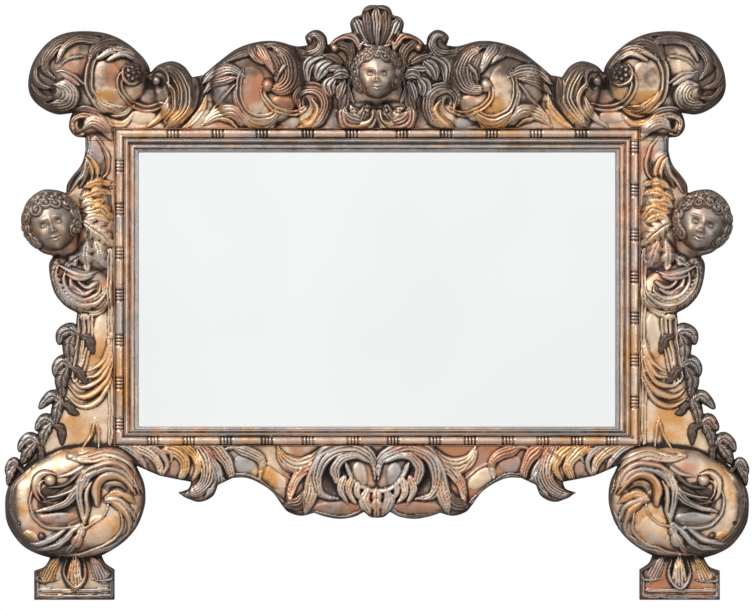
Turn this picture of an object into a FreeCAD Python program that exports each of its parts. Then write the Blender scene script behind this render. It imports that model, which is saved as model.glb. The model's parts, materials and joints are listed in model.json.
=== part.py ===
"""A wall mirror in a repousse sheet-metal frame over a half-lapped wooden core.

The front faces -Y, +Z is up and +X is to the right of someone who looks at the glass. The origin is on the
wall plane, on the centre line, at the height of the two hanging rings. All sizes are in millimetres.

From the wall to the room: turn buttons and ring hangers, the boards of the core with the panel, the packing
sheet and the glass in their rebate, the thin metal sheets that are turned over the edge of the boards, the
mouldings round the glass, and the applied heads, wings, shell and leaves.
"""

import FreeCAD, Part
import os
import Sketcher
from math import cos, exp, hypot, pi, radians, sin

Vector = FreeCAD.Vector
Rotation = FreeCAD.Rotation
Placement = FreeCAD.Placement

doc = FreeCAD.newDocument("RepousseMirror")

# Driving dimensions, one cell each.
SIZES = {
    # the opening that shows the glass, and the border round it
    "sight_width": 478.0,
    "sight_height": 275.0,
    "side_width": 133.0,
    "crest_height": 147.0,
    "foot_height": 173.0,
    "hang_rise": 50.0,
    # the wooden core and what lies in its rebate
    "lip_thickness": 10.0,
    "glass_thickness": 3.0,
    "packing_thickness": 1.0,
    "panel_thickness": 8.0,
    "glass_overlap": 8.5,
    "glass_clearance": 0.5,
    "top_lap_share": 0.5,
    "tongue_length": 58.0,
    "tongue_height": 34.0,
    "peg_radius": 4.0,
    "peg_clearance": 0.1,
    # the repousse sheets
    "sheet_wall": 1.0,
    "sheet_clearance": 0.3,
    "skirt_depth": 14.0,
    "ground_rise": 4.0,
    "rim_round": 2.0,
    # mouldings round the glass
    "sight_wall": 1.5,
    "sight_band": 13.0,
    "sight_band_foot": 8.0,
    "sight_rise": 7.0,
    "bead_band": 11.0,
    "bead_bed_rise": 5.0,
    "bead_radius": 4.3,
    "reel_radius": 4.8,
    "reel_width": 9.0,
    "bead_pitch": 43.0,
    # relief
    "corner_volute_rise": 14.0,
    "second_volute_rise": 14.0,
    "foot_volute_rise": 18.0,
    "strand_rise": 5.0,
    "leaf_rise": 7.0,
    "garland_rise": 6.0,
    "garland_stem_width": 6.0,
    "head_rise": 36.0,
    "side_head_rise": 34.0,
    "shell_rise": 12.0,
    "wing_rise": 9.0,
    # hardware on the back
    "button_length": 30.0,
    "button_width": 10.0,
    "button_thickness": 2.0,
    "button_clearance": 0.2,
    "button_inset": 6.0,
    "button_spacing": 95.0,
    "screw_radius": 1.9,
    "screw_clearance": 0.06,
    "screw_depth": 7.0,
    "screw_head_radius": 3.4,
    "screw_head_height": 1.4,
    "strap_width": 12.0,
    "strap_length": 38.0,
    "strap_thickness": 1.2,
    "knuckle_radius": 2.8,
    "ring_thickness": 2.0,
    "ring_width": 22.0,
    "ring_band": 2.2,
    "ring_drop": 18.0,
    "ring_play": 0.08,
    "hanger_inset": 44.0,
}

sheet = doc.addObject("Spreadsheet::Sheet", "Sizes")
for row, (alias, value) in enumerate(SIZES.items(), start=1):
    sheet.set(f"A{row}", alias)
    sheet.set(f"B{row}", str(value))
    sheet.setAlias(f"B{row}", alias)
doc.recompute()


def size(alias):
    """The value of a named cell."""
    return float(sheet.get(alias))


# One overrun serves every cut, and is taken from the board's lip. Points nearer than a touch are the same.
OVERRUN = size("lip_thickness")
TOUCH = OVERRUN / 10000

CORE_THICKNESS = (
    size("lip_thickness") + size("glass_thickness") + size("packing_thickness") + size("panel_thickness")
)
HALF_SIGHT = size("sight_width") / 2
SIGHT_TOP = -size("hang_rise")
SIGHT_FOOT = SIGHT_TOP - size("sight_height")
SOLE = SIGHT_FOOT - size("foot_height")
CREST_TOP = SIGHT_TOP + size("crest_height")
HALF_WIDTH = HALF_SIGHT + size("side_width")

CORE_FRONT = -CORE_THICKNESS
LIP_BACK = CORE_FRONT + size("lip_thickness")
GLASS_BACK = LIP_BACK + size("glass_thickness")
PACKING_BACK = GLASS_BACK + size("packing_thickness")
GROUND = CORE_FRONT - size("ground_rise")
SKIRT_BACK = CORE_FRONT + size("skirt_depth")

HALF_LIP = HALF_SIGHT + size("sight_wall") + size("sheet_clearance")
LIP_TOP = SIGHT_TOP + size("sight_wall") + size("sheet_clearance")
# The moulding's flange narrows at the foot as its band does, so that the corners stay flat mitres.
WALL_FOOT = size("sight_wall") * size("sight_band_foot") / size("sight_band")
LIP_FOOT = SIGHT_FOOT - WALL_FOOT - size("sheet_clearance")

BAND_HALF = HALF_SIGHT + size("sight_band")
BAND_TOP = SIGHT_TOP + size("sight_band")
BAND_FOOT = SIGHT_FOOT - size("sight_band_foot")
FIELD_HALF = BAND_HALF + size("bead_band")
FIELD_TOP = BAND_TOP + size("bead_band")
FIELD_FOOT = BAND_FOOT - size("bead_band")

# The sight edges, the outer edge and the soles in the photograph, in pixels.
PIXEL_CENTRE = 377.0
PIXEL_SIGHT_SIDE = 138.0
PIXEL_SIGHT_TOP = 152.0
PIXEL_SIGHT_FOOT = 427.0
PIXEL_SIDE = 5.0
PIXEL_CREST = 5.0
PIXEL_SOLE = 600.0


def across(pixel):
    """The x of a pixel column of the left half. The glass and the border each scale with their own size."""
    if pixel < PIXEL_SIGHT_SIDE:
        share = (PIXEL_SIGHT_SIDE - pixel) / (PIXEL_SIGHT_SIDE - PIXEL_SIDE)
        return -HALF_SIGHT - size("side_width") * share
    return -HALF_SIGHT * (PIXEL_CENTRE - pixel) / (PIXEL_CENTRE - PIXEL_SIGHT_SIDE)


def up(pixel):
    """The z of a pixel row, which follows the crest, the glass and the foot each by its own size."""
    if pixel < PIXEL_SIGHT_TOP:
        return SIGHT_TOP + size("crest_height") * (PIXEL_SIGHT_TOP - pixel) / (PIXEL_SIGHT_TOP - PIXEL_CREST)
    if pixel > PIXEL_SIGHT_FOOT:
        share = (pixel - PIXEL_SIGHT_FOOT) / (PIXEL_SOLE - PIXEL_SIGHT_FOOT)
        return SIGHT_FOOT - size("foot_height") * share
    share = (pixel - PIXEL_SIGHT_TOP) / (PIXEL_SIGHT_FOOT - PIXEL_SIGHT_TOP)
    return SIGHT_TOP - size("sight_height") * share


def placed(pixels):
    """Pixel pairs as (x, z) pairs."""
    return [(across(px), up(py)) for px, py in pixels]


# The left half of the frame's silhouette, from the pendant below the glass round to the top of the shell. Each list
# is one stretch, and the stretches meet at corners.
SILHOUETTE_PIXELS = [
    [(377, 518), (370, 517), (364, 512)],
    [(364, 512), (354, 517), (340, 519), (326, 517), (314, 513)],
    [(314, 513), (301, 516), (288, 512), (281, 504)],
    [(281, 504), (272, 492), (259, 483), (246, 478), (233, 478)],
    [(233, 478), (218, 485)],
    [(218, 485), (212, 497), (197, 502), (178, 493)],
    [(178, 493), (188, 489), (191, 482)],
    [(191, 482), (175, 479), (160, 476)],
    [(160, 476), (148, 471), (135, 465)],
    [(135, 465), (143, 482), (145, 498), (143, 511), (137, 526), (127, 539), (114, 549), (101, 556)],
    [(101, 556), (105, 564), (114, 570)],
    [(114, 570), (114, 600)],
    [(114, 600), (34, 600)],
    [(34, 600), (34, 571)],
    [(34, 571), (44, 567), (50, 558)],
    [(50, 558), (37, 554), (24, 547), (14, 536), (7, 523), (5, 509), (6, 493), (12, 478)],
    [(12, 478), (28, 462), (42, 442), (54, 418), (62, 395), (68, 370), (73, 345), (77, 313)],
    [(77, 313), (65, 306), (55, 294), (50, 278), (49, 264), (53, 256)],
    [(53, 256), (41, 252), (30, 241), (23, 227), (23, 211), (29, 199), (42, 190), (56, 190), (66, 193)],
    [(66, 193), (67, 184), (73, 175), (81, 165), (85, 152), (85, 137)],
    [(85, 137), (75, 136), (69, 128), (70, 118), (73, 112)],
    [
        (73, 112), (57, 114), (42, 108), (31, 97), (28, 82), (33, 62), (46, 44),
        (62, 34), (82, 31), (105, 33), (124, 41), (140, 54), (148, 65), (150, 73),
    ],
    [(150, 73), (158, 65), (172, 61), (184, 66), (192, 77)],
    [(192, 77), (203, 75)],
    [(203, 75), (217, 63), (236, 49), (256, 42), (276, 41), (296, 46), (308, 45)],
    [(308, 45), (305, 37), (311, 31), (319, 30), (326, 36), (328, 46)],
    [(328, 46), (334, 39), (343, 34), (352, 32)],
    [(352, 32), (350, 23), (354, 17), (361, 15)],
    [(361, 15), (364, 8), (370, 5), (377, 5)],
]


def curve_through(points, depth):
    """A line through two points, or one smooth curve through more, at one depth."""
    vectors = [Vector(x, depth, z) for x, z in points]
    if len(vectors) == 2:
        return Part.LineSegment(*vectors).toShape()
    curve = Part.BSplineCurve()
    curve.interpolate(vectors)
    return curve.toShape()


def inset_stretches(stretches, inset):
    """A closed chain of stretches, clockwise when seen from the front, with each point moved inwards."""
    chain = [point for stretch in stretches for point in stretch[:-1]]
    moved = []
    for i, (x, z) in enumerate(chain):
        (xa, za), (xb, zb) = chain[i - 1], chain[(i + 1) % len(chain)]
        back, forth = hypot(x - xa, z - za), hypot(xb - x, zb - z)
        tx = (x - xa) / back + (xb - x) / forth
        tz = (z - za) / back + (zb - z) / forth
        length = hypot(tx, tz)
        moved.append((x + inset * tz / length, z - inset * tx / length))
    result, at = [], 0
    for stretch in stretches:
        count = len(stretch) - 1
        result.append([moved[(at + k) % len(moved)] for k in range(count + 1)])
        at += count
    return result


def mirrored(stretches):
    """The same stretches on the other side of the centre line, in the order that goes on round."""
    return [[(-x, z) for x, z in reversed(stretch)] for stretch in reversed(stretches)]


def outline_wire(stretches, inset, depth):
    """The closed wire of a chain of stretches, inset by a distance and at one depth."""
    edges = [curve_through(points, depth) for points in inset_stretches(stretches, inset)]
    return Part.Wire(Part.__sortEdges__(edges))


HALF_SILHOUETTE = [placed(stretch) for stretch in SILHOUETTE_PIXELS]
SILHOUETTE = HALF_SILHOUETTE + mirrored(HALF_SILHOUETTE)


def upright(wire, thickness):
    """The solid from a wire's own depth towards the wall by a thickness."""
    return Part.Face(wire).extrude(Vector(0, thickness, 0))


def block(x_low, x_high, y_low, y_high, z_low, z_high):
    """A plain block between two corners."""
    return Part.makeBox(x_high - x_low, y_high - y_low, z_high - z_low, Vector(x_low, y_low, z_low))


def prism(points, y_low, y_high):
    """A straight-sided prism over (x, z) points."""
    wire = Part.makePolygon([Vector(x, y_low, z) for x, z in points + points[:1]])
    return upright(wire, y_high - y_low)


# How each raised lobe closes in: the inset as a share of its half width, and the height as a share of its rise.
PILLOW_RING_SHARES = ((0.0, 0.0), (0.10, 0.45), (0.24, 0.78), (0.40, 0.95))
# How a strand or a leaf narrows: its width and its height, as shares of the whole.
STRAND_RING_SHARES = ((1.0, 0.0), (0.7, 0.75), (0.3, 1.0))


def ring_wire(points, depth, side):
    """A closed smooth wire through points at one depth, with even parameters, so that the rings match."""
    curve = Part.BSplineCurve()
    steps = [float(i) for i in range(len(points) + 1)]
    curve.interpolate([Vector(x * side, depth, z) for x, z in points], PeriodicFlag=True, Parameters=steps)
    return Part.Wire(curve.toShape())


def half_width(points):
    """Half the mean width of a closed outline: twice its area over its length."""
    ends = points[1:] + points[:1]
    area = sum(xa * zb - xb * za for (xa, za), (xb, zb) in zip(points, ends)) / 2
    length = sum(hypot(xb - xa, zb - za) for (xa, za), (xb, zb) in zip(points, ends))
    return 2 * abs(area) / length


def pillow(pixels, rise, side=1):
    """A raised lobe over a closed smooth outline: its sides lean in and its crown is rounded off.

    The outline's pixels run clockwise when seen from the front. side is 1 for the left half and -1 for the right.
    """
    points = placed(pixels)
    half = half_width(points)
    foot = GROUND + size("rim_round")
    wires = []
    for inset_share, rise_share in PILLOW_RING_SHARES:
        ring = inset_stretches([points + points[:1]], inset_share * half)[0][:-1]
        wires.append(ring_wire(ring, foot - (rise + size("rim_round")) * rise_share, side))
    return Part.makeLoft(wires, True, True)


def smooth_edge(vectors):
    """One smooth edge through vectors, with even parameters."""
    curve = Part.BSplineCurve()
    curve.interpolate(vectors, Parameters=[float(i) for i in range(len(vectors))])
    return curve.toShape()


def strand(pixels, width, rise, side=1):
    """A raised strand along a curve through pixels: it swells in the middle and runs out at its ends."""
    line = Part.BSplineCurve()
    line.interpolate([Vector(x * side, 0, z) for x, z in placed(pixels)])
    first, span = line.FirstParameter, line.LastParameter - line.FirstParameter
    steps = 2 * len(pixels)
    foot = GROUND + size("rim_round") / 2
    wires = []
    for ring_share, rise_share in STRAND_RING_SHARES:
        depth = Vector(0, foot - (rise + size("rim_round") / 2) * rise_share, 0)
        trim_share = (1 - ring_share) / 4
        left, right = [], []
        for i in range(steps + 1):
            at = first + span * (trim_share + (1 - 2 * trim_share) * i / steps)
            point, tangent = line.value(at), line.tangent(at)[0]
            reach = Vector(-tangent.z, 0, tangent.x) * (width / 2 * ring_share * sin(pi * i / steps))
            left.append(point + depth + reach)
            right.append(point + depth - reach)
        wires.append(Part.Wire([smooth_edge(left), smooth_edge(right[::-1])]))
    return Part.makeLoft(wires, True, True)


def leaf(root, tip, width_share, rise, side=1):
    """A leaf, flute or feather on the ground, from a root to a tip in pixels: a lens with a crest."""
    (xa, za), (xb, zb) = placed([root, tip])
    length = hypot(xb - xa, zb - za)
    along = Vector((xb - xa) * side, 0, zb - za) / length
    across_it = Vector(-along.z, 0, along.x)
    middle = Vector((xa + xb) / 2 * side, GROUND, (za + zb) / 2)
    wires = []
    for ring_share, rise_share in STRAND_RING_SHARES:
        centre = middle + Vector(0, -rise * rise_share, 0)
        reach = along * length / 2 * (1 + ring_share) / 2
        half = across_it * length * width_share * ring_share / 2
        a, b = centre - reach, centre + reach
        arcs = (Part.Arc(a, centre + half, b), Part.Arc(b, centre - half, a))
        wires.append(Part.Wire([arc.toShape() for arc in arcs]))
    return Part.makeLoft(wires, True, True)


def fan(root, count, turns, reaches, width_share, rise, side=1):
    """Leaves that spread from one root in pixels. Their turn, in degrees, and their reach change evenly."""
    leaves = []
    for i in range(count):
        share = i / (count - 1)
        turn = radians(turns[0] + (turns[1] - turns[0]) * share)
        reach = reaches[0] + (reaches[1] - reaches[0]) * share
        tip = (root[0] + reach * cos(turn), root[1] - reach * sin(turn))
        leaves.append(leaf(root, tip, width_share, rise, side))
    return leaves


def add_solid(label, shape):
    """Adds one named sub-part with a ready shape."""
    item = doc.addObject("Part::Feature", label)
    item.Label = label
    item.Shape = shape
    item.Placement = shape.Placement
    return item


def merged(shape, others):
    """One solid out of a shape and those that grow out of it."""
    return shape.fuse(others).removeSplitter() if others else shape


BOARD_INSET = size("sheet_wall") + size("sheet_clearance")
NOTCH_PIXELS = (135, 465)
GAP_PIXELS = (150, 480)
SEAM_PIXEL = 141
PLINTH_SEAM_PIXEL = 557
PLINTH_SIDE_PIXELS = (34, 114)
FAR = HALF_WIDTH + OVERRUN
LOW = SOLE - OVERRUN
HIGH = CREST_TOP + OVERRUN


def silhouette_solid(inset, y_front, y_back):
    """The whole silhouette less an inset, with the plinths carried down so that the boards reach the soles."""
    body = upright(outline_wire(SILHOUETTE, inset, y_front), y_back - y_front)
    left, right = (across(pixel) for pixel in PLINTH_SIDE_PIXELS)
    feet = [
        block(side * low, side * high, y_front, y_back, SOLE, SOLE + inset + size("rim_round"))
        for side, low, high in ((1, left + inset, right - inset), (-1, right - inset, left + inset))
    ]
    return body.fuse(feet)


def side_region(inner, top, corner):
    """The part of the frame to the left of its inner edge. It widens below the notch to take in the foot."""
    notch = (across(NOTCH_PIXELS[0]), up(NOTCH_PIXELS[1]))
    gap = (across(GAP_PIXELS[0]), up(GAP_PIXELS[1]))
    return [(-FAR, top), (-inner, top), (-inner, corner), notch, gap, (gap[0], LOW), (-FAR, LOW)]


def mirror_points(points):
    """The same (x, z) points on the other side of the centre line."""
    return [(-x, z) for x, z in reversed(points)]


def drilled(shape, holes):
    """A shape with round holes cut along Y: each hole is (x, z, radius, y_low, y_high)."""
    tools = [Part.makeCylinder(r, y1 - y0, Vector(x, y0, z), Vector(0, 1, 0)) for x, z, r, y0, y1 in holes]
    return shape.cut(tools)


# Where the buttons, the hangers and the pegs sit, in mm, for the left side.
BUTTON_X = -(HALF_SIGHT + size("glass_overlap") + size("glass_clearance") + size("button_inset"))
BUTTON_MIDDLE = (SIGHT_TOP + SIGHT_FOOT) / 2
BUTTON_ROWS = [BUTTON_MIDDLE + step * size("button_spacing") for step in (1, 0, -1)]
HANGER_X = -(HALF_SIGHT + size("hanger_inset"))
STRAP_SCREW_SHARES = (0.63, 0.87)
STRAP_ROWS = [-screw_share * size("strap_length") for screw_share in STRAP_SCREW_SHARES]
TONGUE_END = -(HALF_LIP + size("tongue_length"))
TONGUE_FOOT = LIP_FOOT - size("tongue_height")
LAP_DEPTH = CORE_FRONT + CORE_THICKNESS * size("top_lap_share")
TOP_PEG_SHARES = ((0.30, 0.22), (0.62, 0.60))
TOP_PEGS = [
    (-HALF_LIP - share_x * size("side_width"), LIP_TOP + share_z * size("crest_height"))
    for share_x, share_z in TOP_PEG_SHARES
]
TONGUE_PEG_SHARES = ((0.35, 0.40), (0.80, 0.62))
TONGUE_PEGS = [
    (-HALF_LIP - share_x * size("tongue_length"), LIP_FOOT - share_z * size("tongue_height"))
    for share_x, share_z in TONGUE_PEG_SHARES
]


def both_sides(places):
    """The places of the left side and their mirror images."""
    return [(side * x, z) for side in (1, -1) for x, z in places]


def core_boards():
    """Four boards, half-lapped at the corners. The rails lie in front of the stiles, and pegs go through."""
    blank = silhouette_solid(BOARD_INSET, CORE_FRONT, 0)
    glass_half = HALF_SIGHT + size("glass_overlap") + size("glass_clearance")
    glass_top = SIGHT_TOP + size("glass_overlap") + size("glass_clearance")
    glass_foot = SIGHT_FOOT - size("glass_overlap") - size("glass_clearance")
    opening = block(-HALF_LIP, HALF_LIP, CORE_FRONT - OVERRUN, OVERRUN, LIP_FOOT, LIP_TOP)
    rebate = block(-glass_half, glass_half, LIP_BACK, OVERRUN, glass_foot, glass_top)
    peg = size("peg_radius") + size("peg_clearance")
    screw = size("screw_radius") + size("screw_clearance")
    holes = [(x, z, peg, CORE_FRONT - OVERRUN, OVERRUN) for x, z in both_sides(TOP_PEGS + TONGUE_PEGS)]
    holes += [
        (x, z, screw, -size("screw_depth"), OVERRUN)
        for x, z in both_sides([(BUTTON_X, z) for z in BUTTON_ROWS] + [(HANGER_X, z) for z in STRAP_ROWS])
    ]
    blank = drilled(blank.cut([opening, rebate]), holes)

    region = side_region(HALF_LIP, HIGH, TONGUE_FOOT)
    sides = [prism(points, CORE_FRONT, 0) for points in (region, mirror_points(region))]
    top_front = block(-FAR, FAR, CORE_FRONT, LAP_DEPTH, LIP_TOP, HIGH)
    top_between = block(-HALF_LIP, HALF_LIP, CORE_FRONT, 0, LIP_TOP, HIGH)
    tongues = [
        block(TONGUE_END, -HALF_LIP, CORE_FRONT, LAP_DEPTH, TONGUE_FOOT, LIP_FOOT),
        block(HALF_LIP, -TONGUE_END, CORE_FRONT, LAP_DEPTH, TONGUE_FOOT, LIP_FOOT),
    ]
    for label, side in (("core_left_stile", sides[0]), ("core_right_stile", sides[1])):
        add_solid(label, blank.common(side).cut([top_front, *tongues]))
    add_solid("core_top_rail", blank.common(top_front.fuse(top_between).removeSplitter()))
    apron = block(-FAR, FAR, CORE_FRONT, 0, LOW, LIP_FOOT).cut(sides).fuse(tongues).removeSplitter()
    add_solid("core_bottom_rail", blank.common(apron))


def lap_pegs():
    """The wooden pegs through the lapped corners, flush with the back."""
    pegs = [
        Part.makeCylinder(size("peg_radius"), CORE_THICKNESS, Vector(x, CORE_FRONT, z), Vector(0, 1, 0))
        for x, z in both_sides(TOP_PEGS + TONGUE_PEGS)
    ]
    add_solid("lap_pegs", Part.makeCompound(pegs))


def plate(label, y_front, thickness_alias):
    """A plate of the glass's width and height in the rebate, bound to the sheet."""
    item = doc.addObject("Part::Box", label)
    item.Label = label
    item.setExpression("Length", "Sizes.sight_width + 2 * Sizes.glass_overlap")
    item.setExpression("Width", f"Sizes.{thickness_alias}")
    item.setExpression("Height", "Sizes.sight_height + 2 * Sizes.glass_overlap")
    item.Placement = Placement(
        Vector(-HALF_SIGHT - size("glass_overlap"), y_front, SIGHT_FOOT - size("glass_overlap")), Rotation()
    )
    return item


core_boards()
lap_pegs()
plate("mirror_glass", LIP_BACK, "glass_thickness")
plate("packing_sheet", GLASS_BACK, "packing_thickness")
plate("back_panel", PACKING_BACK, "panel_thickness")

# Repousse sheets and what is raised from them

# Closed outlines of the raised lobes of the left half, clockwise as seen from the front.
CORNER_VOLUTE_PIXELS = [
    (74, 108), (56, 110), (42, 104), (33, 94), (31, 81), (36, 62), (48, 46), (64, 37),
    (84, 34), (105, 36), (122, 44), (138, 57), (146, 72), (140, 90), (126, 104), (104, 110),
]
BRACKET_PIXELS = [(78, 133), (72, 126), (74, 117), (84, 114), (98, 115), (108, 122), (110, 130), (94, 131)]
SECOND_VOLUTE_PIXELS = [
    (240, 122), (222, 108), (214, 92), (220, 70), (238, 54), (258, 46), (278, 46),
    (292, 58), (300, 76), (296, 96), (282, 114), (262, 124),
]
CURL_PIXELS = [(304, 54), (310, 46), (308, 38), (314, 33), (322, 36), (324, 46), (318, 56)]
SWIRL_PIXELS = [
    (78, 309), (64, 302), (54, 286), (53, 268), (62, 262), (76, 274), (92, 280), (106, 288), (102, 302),
]
FOOT_VOLUTE_PIXELS = [
    (76, 550), (52, 550), (30, 544), (16, 532), (9, 514), (9, 496), (20, 478), (40, 464),
    (66, 454), (96, 452), (120, 460), (136, 476), (141, 498), (136, 520), (122, 538), (100, 548),
]
APRON_LOBE_PIXELS = [
    (316, 510), (292, 508), (288, 494), (300, 474), (318, 460), (338, 462), (350, 478), (344, 502),
]

# Raised strands of the left half by sheet: centre line and width in pixels, and the rise of the lobe below.
STRANDS = {
    "crest": [
        ([(34, 84), (44, 60), (66, 46), (92, 44), (118, 54)], 10, "corner_volute_rise"),
        ([(46, 94), (56, 74), (76, 62), (98, 60)], 8, "corner_volute_rise"),
        ([(94, 70), (90, 84), (96, 98), (112, 106)], 5, "corner_volute_rise"),
        ([(152, 76), (164, 67), (180, 72), (189, 92), (187, 108), (175, 119)], 9, None),
        ([(163, 80), (172, 92), (174, 108), (164, 122)], 7, None),
        ([(214, 80), (234, 66), (258, 61), (280, 68)], 9, "second_volute_rise"),
        ([(262, 88), (266, 102), (280, 112), (302, 111)], 5, "second_volute_rise"),
        ([(296, 106), (302, 94), (316, 90), (326, 102), (322, 120)], 6, None),
        ([(204, 122), (218, 115), (232, 115), (246, 123)], 6, None),
        ([(330, 52), (336, 42), (347, 38), (357, 42)], 5, None),
        ([(343, 112), (350, 121), (364, 121), (372, 112)], 6, None),
    ],
    "side": [
        ([(92, 176), (89, 162), (94, 147)], 6, None),
        ([(58, 268), (64, 288), (82, 300), (104, 296)], 8, None),
        ([(76, 392), (86, 403), (100, 394), (109, 372)], 6, None),
        ([(80, 450), (87, 434), (96, 418)], 5, None),
        ([(54, 474), (38, 482), (32, 502), (44, 522), (66, 528)], 6, "foot_volute_rise"),
        ([(28, 486), (46, 469), (72, 461), (100, 461), (124, 474)], 9, "foot_volute_rise"),
        ([(44, 508), (64, 496), (82, 482), (104, 474)], 9, "foot_volute_rise"),
        ([(104, 496), (122, 502), (126, 518), (112, 540)], 7, "foot_volute_rise"),
    ],
    "apron": [
        ([(146, 452), (156, 459), (160, 470)], 8, None),
        ([(164, 451), (177, 461), (181, 476)], 9, None),
        ([(188, 451), (203, 464), (206, 482), (196, 495)], 9, None),
        ([(212, 452), (224, 463), (230, 478)], 8, None),
        ([(240, 450), (254, 457), (262, 468)], 7, None),
        ([(278, 454), (288, 464), (304, 462)], 7, None),
        ([(292, 506), (296, 490), (306, 470), (328, 455)], 9, None),
        ([(324, 498), (318, 478), (334, 458), (358, 456), (369, 478)], 6, None),
    ],
}
# Leaves of the left half: root, tip and width as a share of the length.
SIDE_CLUSTER_LEAVES = [
    ((82, 190), (110, 182), 0.34), ((82, 204), (112, 200), 0.36), ((82, 220), (112, 214), 0.36),
    ((86, 226), (110, 240), 0.36), ((84, 232), (98, 262), 0.36), ((72, 190), (70, 168), 0.4),
]
PLINTH_LEAVES = [((74, 589), (74, 560), 0.6), ((66, 571), (46, 561), 0.4), ((82, 571), (102, 561), 0.4)]
GARLAND_LEAVES = [
    ((86, 330), (59, 358), 0.66), ((84, 362), (55, 393), 0.66), ((74, 396), (42, 422), 0.6),
    ((62, 420), (37, 443), 0.6), ((42, 440), (20, 461), 0.6), ((25, 462), (8, 479), 0.6),
]
GARLAND_STEM_PIXELS = [
    (85, 326), (86, 348), (83, 370), (74, 396), (60, 422), (42, 442), (25, 462), (13, 474),
]
# The leaf in the middle of the apron, from its root to its tip.
APRON_LEAF_PIXELS = ((PIXEL_CENTRE, 456), (PIXEL_CENTRE, 514))
APRON_LEAF_WIDTH_SHARE = 0.3


def sheet_slab():
    """The plain sheet over the whole front: a skirt over the boards' edge, a rounded rim and a flat ground."""
    round_edge = size("rim_round")
    wires = [
        outline_wire(SILHOUETTE, 0, SKIRT_BACK),
        outline_wire(SILHOUETTE, 0, GROUND + round_edge),
        outline_wire(SILHOUETTE, round_edge, GROUND),
    ]
    skirt = upright(wires[1], SKIRT_BACK - GROUND - round_edge)
    slab = skirt.fuse(Part.makeLoft(wires[1:], True, True))
    boards = silhouette_solid(size("sheet_wall"), CORE_FRONT, SKIRT_BACK + OVERRUN)
    wall = size("sheet_wall")
    left, right = (across(pixel) for pixel in PLINTH_SIDE_PIXELS)
    plinths = [
        block(side * low, side * high, CORE_FRONT, SKIRT_BACK + OVERRUN, LOW, SOLE + wall)
        for side, low, high in ((1, left + wall, right - wall), (-1, right - wall, left + wall))
    ]
    return slab.cut([boards, *plinths])


def cluster(leaves, rise, side=1):
    """Leaves from a table of roots, tips and widths."""
    return [leaf(root, tip, width_share, rise, side) for root, tip, width_share in leaves]


def strands_of(area, side):
    """The raised strands of one area of one side, on the ground or on a lobe."""
    strands = []
    for pixels, width, carrier in STRANDS[area]:
        rise = size("strand_rise") + (size(carrier) if carrier else 0)
        strands.append(strand(pixels, across(width) - across(0), rise, side))
    return strands


# A child's face on plain proportions, as shares of the head's half height: across, up, the reach each way and the
# rise. A feature off the centre line is there on both sides.
FACE_SHARES = (
    (0.0, 0.36, 0.46, 0.34, 0.05), (0.34, -0.36, 0.20, 0.19, 0.12), (0.27, -0.04, 0.13, 0.09, -0.10),
    (0.27, -0.06, 0.09, 0.06, 0.09), (0.27, 0.12, 0.16, 0.06, 0.05), (0.0, -0.02, 0.08, 0.16, 0.07),
    (0.0, -0.25, 0.10, 0.09, 0.20), (0.0, -0.46, 0.12, 0.05, 0.07), (0.0, -0.57, 0.10, 0.05, 0.08),
    (0.0, -0.76, 0.17, 0.13, 0.12),
)
# The rows of curls: how far round the head from the face's middle in degrees, how many, and their reach.
HAIR_ROW_SHARES = ((40, 7, 0.26), (62, 9, 0.26), (86, 10, 0.25))
HAIR_SPAN = (-28, 208)
CURL_RISE_SHARE = 0.16
# How wide, deep and tall the head is to its half height, and how far round the head its rings go, in degrees.
HEAD_WIDTH_SHARE, HEAD_DEPTH_SHARE, HEAD_HEIGHT_SHARE = 0.88, 0.80, 0.93
HEAD_SPAN = 106
HEAD_RINGS = 22
HEAD_SPOKES = 38


def curl_middles():
    """The middles of the curls on a round head of size one, each with its reach."""
    first, last = HAIR_SPAN
    middles = []
    for away, count, reach in HAIR_ROW_SHARES:
        for i in range(count):
            turned = radians(first + (last - first) * i / (count - 1))
            ring = sin(radians(away))
            middles.append((ring * cos(turned), cos(radians(away)), ring * sin(turned), reach))
    return middles


def swelling(x, y, z, curls):
    """How far the face or the hair stands out at one point of a round head of size one."""
    hair = 0.0
    for cx, cy, cz, reach in curls:
        gap = hypot(x - cx, y - cy, z - cz) / reach
        if gap < 1:
            hair = max(hair, CURL_RISE_SHARE * (1 - gap * gap) ** 0.5)
    if hair:
        return hair
    face = 0.0
    for across_share, up_share, wide, tall, rise_share in FACE_SHARES:
        for way in {1, -1 if across_share else 1}:
            face += rise_share * exp(-((x - way * across_share) / wide) ** 2 - ((z - up_share) / tall) ** 2)
    return face * min(max(3 * y, 0), 1)


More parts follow.
